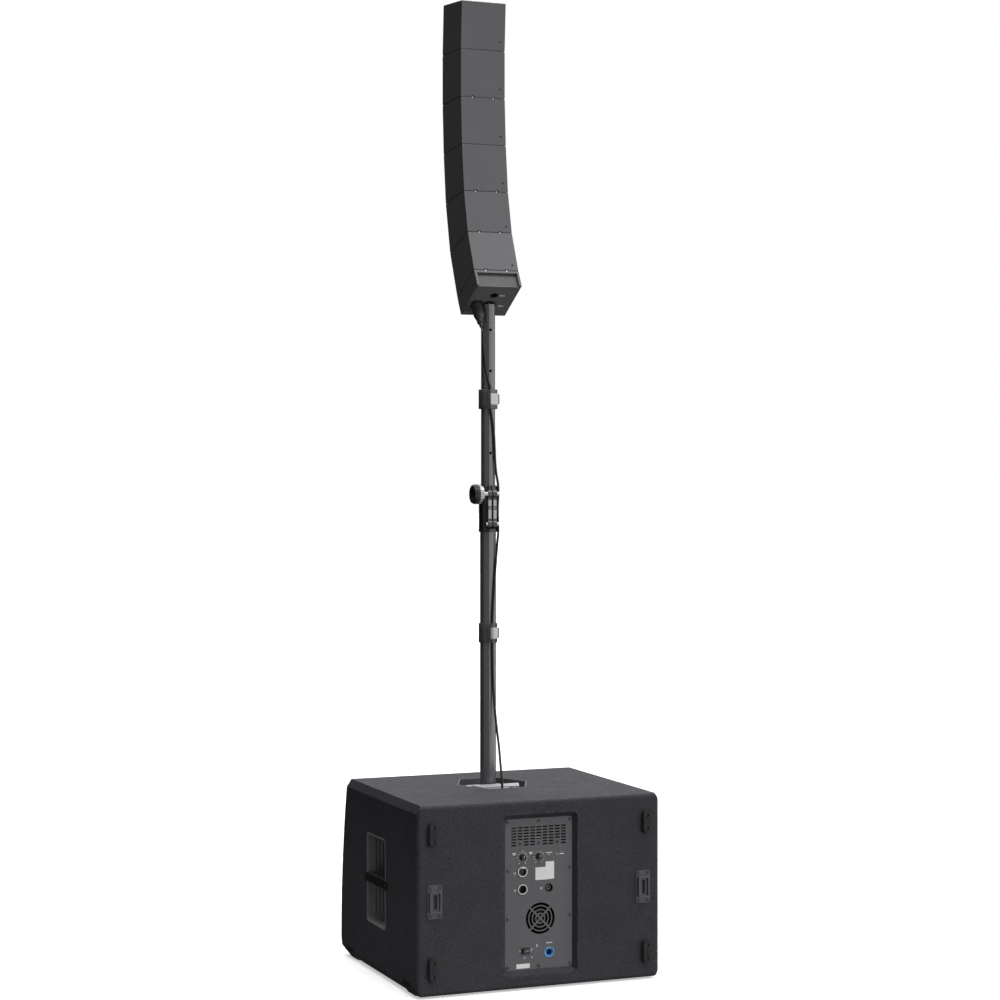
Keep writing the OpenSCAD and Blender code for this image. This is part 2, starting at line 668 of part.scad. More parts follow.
// Knurled knob on the clamping screw
module clamp_knob() color([0.75, 0.75, 0.76]) on_pole() translate([0, lug_y, bolt_z[1]]) {
    rod_x(stud_r - run_gap, -18.5, 36);
    rod_x(6.4, 12.5, 16);
    difference() {
        union() {
            rod_x(24.5, 32, 16);
            rod_x(22.5, 28, 24);
        }
        for (i = [0:17]) rotate([i * 20, 0, 0]) translate([0, 25.3, 0]) rod_x(2, 26, 30);
        rod_x(14, 49, 5);
    }
}

module strap(tube_r, low_z, cable_x, cable_y) on_pole() translate([0, 0, low_z]) difference() {
    union() {
        cylinder(r = strap_r, h = strap_h);
        translate([cable_x, cable_y, 0]) cylinder(r = cable_r + 2.6, h = strap_h);
    }
    translate([0, 0, -eps]) cylinder(r = tube_r + 0.05, h = strap_h + 2 * eps);
    translate([cable_x, cable_y, -eps]) cylinder(r = cable_r + cable_gap, h = strap_h + 2 * eps);
}

module lower_strap() color([0.25, 0.25, 0.26]) strap(lower_tube_r, lower_strap_z, -2.1, 25);
module upper_strap() color([0.25, 0.25, 0.26]) strap(upper_tube_r, upper_strap_z, 2.6, 21.3);

module upper_tube() color([0.1, 0.1, 0.1]) on_pole() difference() {
    translate([0, 0, upper_tube_bottom]) ring(upper_tube_r, upper_tube_r - 2, tube_end_z - upper_tube_bottom);
    for (i = [0:5]) translate([0, 0, top_hole_z - i * hole_pitch]) rod_y(3.5, 8, 12);
}

module upper_stud() color([0.5, 0.5, 0.52]) on_pole() {
    translate([0, 0, tube_end_z - 30]) cylinder(r = upper_tube_r - 2.05, h = 30);
    translate([0, 0, tube_end_z - eps]) cylinder(r = thread_r - 0.06, h = 29);
}

// ---------- adapter ----------

// Places children in the frame of the adapter's underside: Y runs rearward, Z into the adapter
module on_underside() translate([0, column_y, column_z]) rotate([adapter_tilt, 0, 0]) children();

// Places children in the middle frame of stage k: Y runs rearward from the front face
module on_stage(k) translate([0, corner(k)[0], corner(k)[1]]) rotate([stage_tilt(k), 0, 0])
    translate([0, 0, heights[k] / 2]) children();

// Places children in the frame of the joint under stage k
module on_seam(k) translate([0, corner(k)[0], corner(k)[1]]) rotate([seam_tilt(k), 0, 0]) children();

// Side outline of stage k in its middle frame, shrunk by inset on every side
module stage_outline(k, inset) {
    slope = tan(wedges[k] / 2);
    low = inset;
    high = sat_d * cos(wedges[k] / 2) - inset;
    half = heights[k] / 2 - inset - joint_gap;
    polygon([
        [low, -half + low * slope], [high, -half + high * slope], [high, half - high * slope],
        [low, half - low * slope]
    ]);
}

// Dark joint line cut round the outside at the joint under stage k
module joint_groove(k) on_seam(k) difference() {
    block([-sat_w, -eps, -groove / 2], [sat_w, sat_d + eps, groove / 2]);
    block([-sat_w / 2 + 1.5, -2, -groove], [sat_w / 2 - 1.5, sat_d - 1.5, groove]);
}

module hook_notches(k) on_seam(k) for (x = [-hook_x, hook_x])
    block([x - 4, sat_d - 3, -4], [x + 4, sat_d + 3, 4]);

module adapter_shell() color([0.17, 0.17, 0.18]) difference() {
    on_stage(0) along_x(sat_w) stage_outline(0, 0);
    difference() {
        on_stage(0) translate([0, 0, -sat_wall]) along_x(sat_w - 2 * sat_wall) stage_outline(0, sat_wall);
        on_underside() for (x = [-screw_x, screw_x], u = screw_u) translate([x, u, 0]) cylinder(r = 5, h = 60);
        on_underside() block([-sat_w / 2, sat_d - 12, 0], [sat_w / 2, sat_d, 60]);
    }
    on_underside() block([-sat_w / 2 + sat_wall, sat_wall, -eps], [sat_w / 2 - sat_wall, sat_d - 2, 3]);
    on_underside() block([-53, sat_d - 6, -eps], [53, sat_d + 6, 37]);
    for (x = [-screw_x, screw_x], u = screw_u) on_underside() translate([x, u, 0]) cylinder(r = 1.6, h = 14);
    joint_groove(1);
    hook_notches(1);
}

module adapter_panel() color([0.13, 0.13, 0.14]) difference() {
    on_underside() difference() {
        block([-sat_w / 2 + sat_wall, sat_wall, 0], [sat_w / 2 - sat_wall, sat_d - 6, 3]);
        translate([0, tilt_hole_u, -eps]) cylinder(r = 11.6, h = 5);
        translate([plug_x, plug_u, -eps]) cylinder(r = 12.1, h = 5);
        for (x = [-screw_x, screw_x], u = screw_u) translate([x, u, -eps]) cylinder(r = 1.8, h = 5);
    }
    on_pole() translate([0, 0, column_z]) cylinder(r = 20.6, h = 80);
}

module adapter_screws() color([0.6, 0.6, 0.61]) on_underside() for (x = [-screw_x, screw_x], u = screw_u)
    translate([x, u, 0]) rotate([-90, 0, 0]) screw(3.2, 1.8, 1.5, 12);

// Steel plate with the upright threaded cup that takes the pole, and a second threaded bush at a tilt
module pole_bushes() color([0.4, 0.4, 0.42]) difference() {
    union() {
        on_underside() block([-25, 22, 3], [20, 110, 6]);
        on_underside() translate([0, tilt_hole_u, 0]) cylinder(r = 11.5, h = 30);
        intersection() {
            on_pole() translate([0, 0, column_z]) cylinder(r = 20.5, h = tube_end_z + 30 - column_z);
            on_underside() block([-30, 0, 0], [30, 120, 80]);
        }
    }
    on_underside() translate([0, tilt_hole_u, -eps]) cylinder(r = thread_r, h = 26);
    on_pole() translate([0, 0, column_z - 40]) cylinder(r = upper_tube_r + 0.06, h = tube_end_z - column_z + 40);
    on_pole() translate([0, 0, tube_end_z - eps]) cylinder(r = thread_r, h = 40);
}

module adapter_socket() color([0.1, 0.1, 0.1]) on_underside() translate([plug_x, plug_u, 0])
    mirror([0, 0, 1]) chassis_socket(22);

// Cable plug with its nose along +Z and its shoulder at the origin, hollow where the cable enters
module cable_plug() difference() {
    union() {
        translate([0, 0, -eps]) cylinder(r = 10.2, h = 13);
        translate([0, 0, -32]) cylinder(r = 13, h = 32);
        translate([0, 0, -44]) cylinder(r1 = 9.5, r2 = 13, h = 12);
        translate([0, 0, -54]) cylinder(r = 8.4, h = 10);
        translate([0, 0, -plug_l]) cylinder(r1 = 4.6, r2 = 6, h = 12);
    }
    translate([0, 0, -plug_l - eps]) cylinder(r = cable_r + cable_gap, h = plug_l - seat_l + eps);
    for (i = [0:9]) rotate(i * 36) translate([13.6, 0, -30]) cylinder(r = 1.2, h = 20);
}

module upper_plug() color([0.1, 0.1, 0.1]) on_underside()
    translate([plug_x, plug_u, -flange_t]) cable_plug();

module lower_plug() color([0.1, 0.1, 0.1])
    translate([pocket_x, plug_y, dish_floor - pocket_depth + flange_t]) mirror([0, 0, 1]) cable_plug();

// ---------- cable ----------

// Catmull-Rom point between b and c, and the smoothed route
function blend(a, b, c, d, t) = 0.5 * (2 * b + (c - a) * t + (2 * a - 5 * b + 4 * c - d) * t * t
    + (3 * b - 3 * c + d - a) * t * t * t);
function knot(i) = cable_route[max(0, min(len(cable_route) - 1, i))];
smooth_route = [
    for (i = [0:len(cable_route) - 2], s = [0:cable_steps - 1])
        blend(knot(i - 1), knot(i), knot(i + 1), knot(i + 2), s / cable_steps),
    knot(len(cable_route) - 1)
];

// Ring of points around the route at place i, square to the route's direction
function unit(v) = v / norm(v);
function route_ring(i) = let (
    n = len(smooth_route),
    ahead = unit(smooth_route[min(n - 1, i + 1)] - smooth_route[max(0, i - 1)]),
    side = unit(cross([0, 1, 0], ahead)),
    up = cross(ahead, side)
) [for (k = [0:cable_sides - 1]) smooth_route[i]
    + cable_r * (cos(k * 360 / cable_sides) * side + sin(k * 360 / cable_sides) * up)];

module speaker_cable() color([0.05, 0.05, 0.05]) on_pole() {
    n = len(smooth_route);
    points = [for (i = [0:n - 1], p = route_ring(i)) p];
    sides = [for (i = [0:n - 2], k = [0:cable_sides - 1]) let (m = (k + 1) % cable_sides)
        [i * cable_sides + k, (i + 1) * cable_sides + k, (i + 1) * cable_sides + m, i * cable_sides + m]];
    first = [for (k = [0:cable_sides - 1]) k];
    last = [for (k = [cable_sides - 1:-1:0]) (n - 1) * cable_sides + k];
    polyhedron(points, concat(sides, [first, last]), convexity = 10);
}

// ---------- satellite column ----------

// Cavity of stage k, open at the front
module stage_cavity(k) on_stage(k) {
    along_x(sat_w - 2 * sat_wall) stage_outline(k, sat_wall);
    block([-sat_w / 2 + sat_wall, -eps, -heights[k] / 2 + sat_wall],
          [sat_w / 2 - sat_wall, sat_wall + eps, heights[k] / 2 - sat_wall]);
}

// Small blind hole in the rear face of stage k
module rear_hole(k) on_stage(k) translate([-45, 0, -heights[k] / 2 + 27]) rod_y(2.5, sat_d - 3, 5);

// Shell of the stages from low to high, with a groove at each inner joint
module shell(low, high) difference() {
    union() {
        for (k = [low:high]) on_stage(k) along_x(sat_w) stage_outline(k, 0);
        if (high > low) on_seam(high) block([-sat_w / 2, 0.5, -groove], [sat_w / 2, sat_d - 0.5, groove]);
    }
    for (k = [low:high]) {
        stage_cavity(k);
        rear_hole(k);
    }
    for (k = [low, high + 1]) hook_notches(k);
    for (k = [low:high]) joint_groove(k);
    if (high + 1 < len(heights)) joint_groove(high + 1);
}

module single_shell_1() color([0.19, 0.19, 0.2]) shell(1, 1);
module single_shell_2() color([0.19, 0.19, 0.2]) shell(2, 2);
module double_shell_1() color([0.19, 0.19, 0.2]) shell(3, 4);
module double_shell_2() color([0.19, 0.19, 0.2]) shell(5, 6);

module every_module() for (k = [1:6]) on_stage(k) {
    $front = heights[k];
    children();
}

module satellite_grilles() color([0.1, 0.1, 0.11]) every_module()
    block([-sat_w / 2 + sat_wall, 0.8, -$front / 2 + sat_wall], [sat_w / 2 - sat_wall, 2.4, $front / 2 - sat_wall]);

module satellite_baffles() color([0.12, 0.12, 0.12]) every_module() difference() {
    block([-sat_w / 2 + sat_wall, 22, -54], [sat_w / 2 - sat_wall, 27, 54]);
    rod_y(46, 21, 7);
}

module midrange_frames() color([0.25, 0.25, 0.26]) every_module() rotate([-90, 0, 0]) union() {
    rotate_extrude() polygon([
        [46, 27], [52, 27], [52, 31], [48, 33], [28, 60], [28, 64], [18, 64], [18, 60], [26, 58], [46, 32]
    ]);
    translate([0, 0, 64]) difference() {
        cylinder(r = 36, h = 20);
        translate([0, 0, -eps]) cylinder(r = 8, h = 22);
    }
}

module midrange_cones() color([0.15, 0.15, 0.15]) every_module() rotate([-90, 0, 0]) rotate_extrude() {
    translate([41, 27]) difference() {
        circle(4);
        circle(2.8);
        translate([-5, 0]) square([10, 5]);
    }
    polygon([[37, 27], [38.5, 27], [38.5, 28.5], [16, 52], [14.5, 52], [14.5, 50], [36.5, 27.4]]);
    polygon([[0, 44], [10, 46], [15, 50], [15, 51.2], [10, 47.4], [0, 45.4]]);
}

module tweeter_bars() color([0.08, 0.08, 0.08]) every_module() difference() {
    block([-18, 8, -54], [18, 22, 54]);
    for (v = [-36, 0, 36]) translate([0, 0, v]) {
        rod_y(14, 7, 5);
        difference() {
            rod_y(16.5, 7, 2.4);
            rod_y(9, 6, 4);
        }
    }
}

module latch_hooks() color([0.8, 0.8, 0.8]) for (k = [1, 2, 3, 5]) on_seam(k)
    for (x = [-hook_x, hook_x]) translate([x, 0, 0])
        along_y(sat_d - 3, 2.6) polygon([[-2.8, -2.8], [2.8, -2.8], [0, 3]]);

// ---------- drawing ----------

cabinet_shell();
baffle();
cabinet_brace();
front_grille();
woofer_basket();
woofer_magnet();
woofer_cone();
side_ports();
side_handles();
rear_feet();
bottom_feet();
catch_plates();
cabinet_screws();
top_dish();
pole_flange();
dish_socket();
amp_tray();
amp_panel();
panel_screws();
circuit_board();
heat_sink();
power_supply();
fan_frame();
fan_rotor();
level_knob();
mode_knob();
xlr_input();
xlr_latch();
xlr_output();
speaker_output();
power_inlet();
switch_bezel();
power_rocker();
lower_tube();
lower_stud();
clamp_collar();
clamp_bolts();
clamp_knob();
lower_strap();
upper_tube();
upper_stud();
upper_strap();
adapter_shell();
adapter_panel();
adapter_screws();
pole_bushes();
adapter_socket();
speaker_cable();
upper_plug();
lower_plug();
single_shell_1();
single_shell_2();
double_shell_1();
double_shell_2();
satellite_grilles();
satellite_baffles();
midrange_frames();
midrange_cones();
tweeter_bars();
latch_hooks();
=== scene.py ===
"""Looks of a portable column loudspeaker: bass cabinet, clamped pole, curved satellite column and cable.

The frame is the CAD's, in metres: +Y is the rear with the amplifier, and +Z is up along the pole.
Names that end in _MM, and what the on_... helpers take, are in millimetres.
"""

import math

import bmesh
import bpy
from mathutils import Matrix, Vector


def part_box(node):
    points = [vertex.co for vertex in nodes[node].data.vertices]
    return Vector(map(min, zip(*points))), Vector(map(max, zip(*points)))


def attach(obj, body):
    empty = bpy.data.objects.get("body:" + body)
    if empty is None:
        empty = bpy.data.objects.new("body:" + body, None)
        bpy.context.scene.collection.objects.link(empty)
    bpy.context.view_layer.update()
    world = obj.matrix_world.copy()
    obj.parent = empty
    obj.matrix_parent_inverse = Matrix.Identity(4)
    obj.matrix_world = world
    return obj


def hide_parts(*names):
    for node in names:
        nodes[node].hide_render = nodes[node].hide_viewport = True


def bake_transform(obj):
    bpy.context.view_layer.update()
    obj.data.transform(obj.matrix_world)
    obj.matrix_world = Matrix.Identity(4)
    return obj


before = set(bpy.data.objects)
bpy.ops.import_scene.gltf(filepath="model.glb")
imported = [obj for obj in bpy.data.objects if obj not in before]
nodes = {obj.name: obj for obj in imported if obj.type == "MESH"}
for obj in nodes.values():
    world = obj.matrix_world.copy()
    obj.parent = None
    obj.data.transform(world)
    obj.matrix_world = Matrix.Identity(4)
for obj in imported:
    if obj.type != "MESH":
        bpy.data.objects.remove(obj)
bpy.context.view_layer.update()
MM = 0.001

# ---------------------------------------------------------------- camera

CAMERA_AT = Vector((2.086, 5.157, 1.211))
CAMERA_YAW = math.radians(157.9)
LENS = 81.2
SENSOR_WIDTH = 36
HORIZON_SHIFT = -0.0256
FARTHEST_SEEN = 200

camera = bpy.data.objects.new("camera", bpy.data.cameras.new("camera"))
camera.location = CAMERA_AT
camera.rotation_euler = (math.radians(90), 0, CAMERA_YAW)
camera.data.sensor_width = SENSOR_WIDTH
camera.data.lens = LENS
camera.data.shift_y = HORIZON_SHIFT
camera.data.clip_end = FARTHEST_SEEN
bpy.context.scene.collection.objects.link(camera)
bpy.context.scene.camera = camera


# ---------------------------------------------------------------- node helpers


def node_in(tree, kind, inputs=None, **settings):
    """Adds a shader node, sets its properties, and links or sets its inputs."""
    made = tree.nodes.new("ShaderNode" + kind)
    for key, value in settings.items():
        setattr(made, key, value)
    for key, value in (inputs or {}).items():
        if isinstance(value, bpy.types.NodeSocket):
            tree.links.new(value, made.inputs[key])
        else:
            made.inputs[key].default_value = value
    return made


def maths(tree, operation, a, b=0.0):
    """One Math node on two values or sockets."""
    return node_in(tree, "Math", {0: a, 1: b}, operation=operation).outputs[0]


def mixed(tree, factor, a, b):
    """Mixes two colours by a factor socket."""
    return node_in(tree, "Mix", {0: factor, 6: a, 7: b}, data_type="RGBA").outputs[2]


def spread(tree, value, low, high, to_low=0.0, to_high=1.0):
    """Maps a socket from one range to another, clamped."""
    ranges = {"From Min": low, "From Max": high, "To Min": to_low, "To Max": to_high}
    return node_in(tree, "MapRange", {"Value": value, **ranges}).outputs[0]


def noise(tree, coords, size, detail, roughness, stretch=(1, 1, 1)):
    """Noise whose features are about size metres across."""
    scaled = node_in(tree, "Mapping", {"Vector": coords, "Scale": stretch}).outputs[0]
    inputs = {"Vector": scaled, "Scale": 1 / size, "Detail": detail, "Roughness": roughness}
    return node_in(tree, "TexNoise", inputs).outputs[0]


def flat_xz(tree, coords):
    """The coordinates' X and Z, as a vector with no third part."""
    split = node_in(tree, "SeparateXYZ", {0: coords})
    return node_in(tree, "CombineXYZ", {0: split.outputs[0], 1: split.outputs[2]}).outputs[0]


def rgb(colour):
    """A colour with full alpha."""
    return (*colour, 1.0)


def shade(colour, factor):
    """A colour made darker or lighter."""
    return tuple(min(1.0, c * factor) for c in colour)


# ---------------------------------------------------------------- one finish

# Sizes of the noises in metres, and the part of each noise's range that is used
BROAD_SIZE = 0.09
SMUDGE_SIZE = 0.02
TONE_RANGE = (0.32, 0.68)
SMUDGE_RANGE = (0.3, 0.7)
DRIFT_RANGE = (0.4, 0.75)
# Cosine between the true and the rounded normal, from flat to fully on an edge
WORN_RANGE = (0.995, 0.86)
# Smudge noise where worn patches start and where they are full; more wear makes them start earlier
PATCH_START, PATCH_FULL = 0.52, 0.72
PATCH_GROWTH = 0.2
# How far up a face looks, where dust starts to settle and where it is full
UPWARD_RANGE = (0.6, 1.0)
ROUGHNESS_SWING = 0.07
BEVEL_SAMPLES = 4
DUST_COLOUR = (0.32, 0.31, 0.29)
COAT_ROUGHNESS = 0.15
LEAST_BUMP = 1e-6
GRAIN_UNDER_PATTERN = 0.3


def surface(
    name,
    colour,
    rough,
    depth,
    metal=0.0,
    grain=0.0012,
    mottle=0.12,
    cloud=0.55,
    wear=None,
    wear_amount=0.5,
    edge=0.0006,
    streaks=(1, 1, 1),
    dust=0.0,
    specular=0.5,
    coat=0.0,
    pattern=None,
    pattern_metal=None,
):
    """A procedural finish: grain, mottled colour and roughness, rounded worn edges, dust and a pattern.

    grain and depth are the bump's size and height, and edge is the rounding's radius, all in metres.
    mottle is how far the colour varies, and cloud is its broad part. streaks stretches the grain.
    pattern(tree, coords) returns a mask, its colour and its height.
    """
    made = bpy.data.materials.new(name)
    made.use_nodes = True
    tree = made.node_tree
    shader = tree.nodes["Principled BSDF"]
    coords = node_in(tree, "TexCoord").outputs["Object"]
    normal = node_in(tree, "NewGeometry").outputs["Normal"]
    fine = noise(tree, coords, grain, 3.0, 0.6, streaks)
    broad = noise(tree, coords, BROAD_SIZE, 3.0, 0.55)
    smudge = noise(tree, coords, SMUDGE_SIZE, 4.0, 0.6)

    fine_part = maths(tree, "MULTIPLY", fine, 1 - cloud)
    tone = maths(tree, "ADD", fine_part, maths(tree, "MULTIPLY", broad, cloud))
    darker, lighter = rgb(shade(colour, 1 - mottle)), rgb(shade(colour, 1 + mottle))
    tint = mixed(tree, spread(tree, tone, *TONE_RANGE), darker, lighter)
    smoothest, roughest = max(0.05, rough - ROUGHNESS_SWING), min(1.0, rough + ROUGHNESS_SWING)
    roughness = spread(tree, smudge, *SMUDGE_RANGE, smoothest, roughest)
    height = fine
    if pattern:
        mask, pattern_colour, pattern_height = pattern(tree, coords)
        tint = mixed(tree, mask, tint, rgb(pattern_colour))
        lowered = maths(tree, "MULTIPLY", fine, GRAIN_UNDER_PATTERN)
        height = maths(tree, "ADD", lowered, maths(tree, "MULTIPLY", mask, pattern_height))

    rounded = node_in(tree, "Bevel", {"Radius": edge}, samples=BEVEL_SAMPLES).outputs[0]
    if wear:
        facing = node_in(tree, "VectorMath", {0: rounded, 1: normal}, operation="DOT_PRODUCT")
        on_edge = spread(tree, facing.outputs["Value"], *WORN_RANGE)
        patches = spread(tree, smudge, PATCH_START - wear_amount * PATCH_GROWTH, PATCH_FULL)
        tint = mixed(tree, maths(tree, "MULTIPLY", on_edge, patches), tint, rgb(wear))
    if dust:
        upward = node_in(tree, "SeparateXYZ", {0: normal}).outputs[2]
        drifts = spread(tree, broad, *DRIFT_RANGE, 0.0, dust)
        settled = maths(tree, "MULTIPLY", spread(tree, upward, *UPWARD_RANGE), drifts)
        tint = mixed(tree, settled, tint, rgb(DUST_COLOUR))
    relief = {"Height": height, "Normal": rounded, "Strength": 1.0, "Distance": max(depth, LEAST_BUMP)}
    bump = node_in(tree, "Bump", relief)
    tree.links.new(tint, shader.inputs["Base Color"])
    tree.links.new(roughness, shader.inputs["Roughness"])
    tree.links.new(bump.outputs[0], shader.inputs["Normal"])
    shader.inputs["Metallic"].default_value = metal
    if pattern_metal is not None:
        tree.links.new(spread(tree, mask, 0.0, 1.0, metal, pattern_metal), shader.inputs["Metallic"])
    shader.inputs["Specular IOR Level"].default_value = specular
    shader.inputs["Coat Weight"].default_value = coat
    shader.inputs["Coat Roughness"].default_value = COAT_ROUGHNESS
    return made


# ---------------------------------------------------------------- patterns for surface()

# Half the width over which two colours meet, in metres, and the share of a hole's radius that is soft
HALF_BLUR = 0.0002
HOLE_SOFTNESS = 0.08
HOLE_DEPTH = -1.0
WEAVE_RANGE = (-0.4, 0.6)
WEAVE_HEIGHT = 0.9
# Black for the grilles' holes, and painted shade on the walls of the amp panel's vents
HOLE_AND_SHADE_BLACK = (0.003, 0.003, 0.003)
SOFT_BLACK = (0.012, 0.012, 0.013)
SOCKET_BLUE = (0.012, 0.07, 0.3)


def weave(pitch):
    """A plain weave: two crossed waves."""

    def pattern(tree, coords):
        split = node_in(tree, "SeparateXYZ", {0: coords})
        waves = []
        for axis in (2, 0):
            phase = maths(tree, "MULTIPLY", split.outputs[axis], 2 * math.pi / pitch)
            waves.append(maths(tree, "SINE", phase))
        crossed = maths(tree, "MULTIPLY", *waves)
        return spread(tree, crossed, *WEAVE_RANGE), SOFT_BLACK, WEAVE_HEIGHT

    return pattern


def perforated(pitch, radius):
    """Rows of round holes on a hexagonal grid in X and Z."""

    def pattern(tree, coords):
        split = node_in(tree, "SeparateXYZ", {0: coords})
        distances = []
        for shift in (0.0, 0.5):
            offsets = []
            for axis, step in ((0, pitch), (2, pitch * math.sqrt(3))):
                place = maths(tree, "ADD", maths(tree, "DIVIDE", split.outputs[axis], step), shift)
                inside = maths(tree, "SUBTRACT", maths(tree, "FRACT", place), 0.5)
                offsets.append(maths(tree, "MULTIPLY", inside, step))
            flat = node_in(tree, "CombineXYZ", {0: offsets[0], 1: offsets[1]}).outputs[0]
            length = node_in(tree, "VectorMath", {0: flat}, operation="LENGTH")
            distances.append(length.outputs["Value"])
        nearest = maths(tree, "MINIMUM", *distances)
        rim = (radius * (1 + HOLE_SOFTNESS), radius * (1 - HOLE_SOFTNESS))
        return spread(tree, nearest, *rim), HOLE_AND_SHADE_BLACK, HOLE_DEPTH

    return pattern


def beyond(axis, limit, colour, side=1):
    """A second colour where one coordinate is past a limit, or short of it with side=-1."""

    def pattern(tree, coords):
        place = node_in(tree, "SeparateXYZ", {0: coords}).outputs[axis]
        return spread(tree, place, limit - side * HALF_BLUR, limit + side * HALF_BLUR), colour, 0.0

    return pattern


def disc_about(x, z, radius, colour):
    """A second colour inside a circle in X and Z."""

    def pattern(tree, coords):
        ends = {0: flat_xz(tree, coords), 1: (x, z, 0.0)}
        away = node_in(tree, "VectorMath", ends, operation="DISTANCE").outputs["Value"]
        return spread(tree, away, radius + HALF_BLUR, radius - HALF_BLUR), colour, 0.0

    return pattern


# ---------------------------------------------------------------- finishes

GREY_WEAR = (0.16, 0.16, 0.165)
METAL_WEAR = (0.45, 0.45, 0.46)
panel_low, panel_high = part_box("amp_panel")
# Under this depth the panel is painted black: painted shade on the walls of its vents, so that they look
# deep
PANEL_SHADE_DEPTH = 0.0006
inlet_low, inlet_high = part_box("power_inlet")
inlet_x, inlet_z = (inlet_low.x + inlet_high.x) / 2, (inlet_low.z + inlet_high.z) / 2
INLET_BORE = 0.0088
KNOB_CAP_X = 0.0385

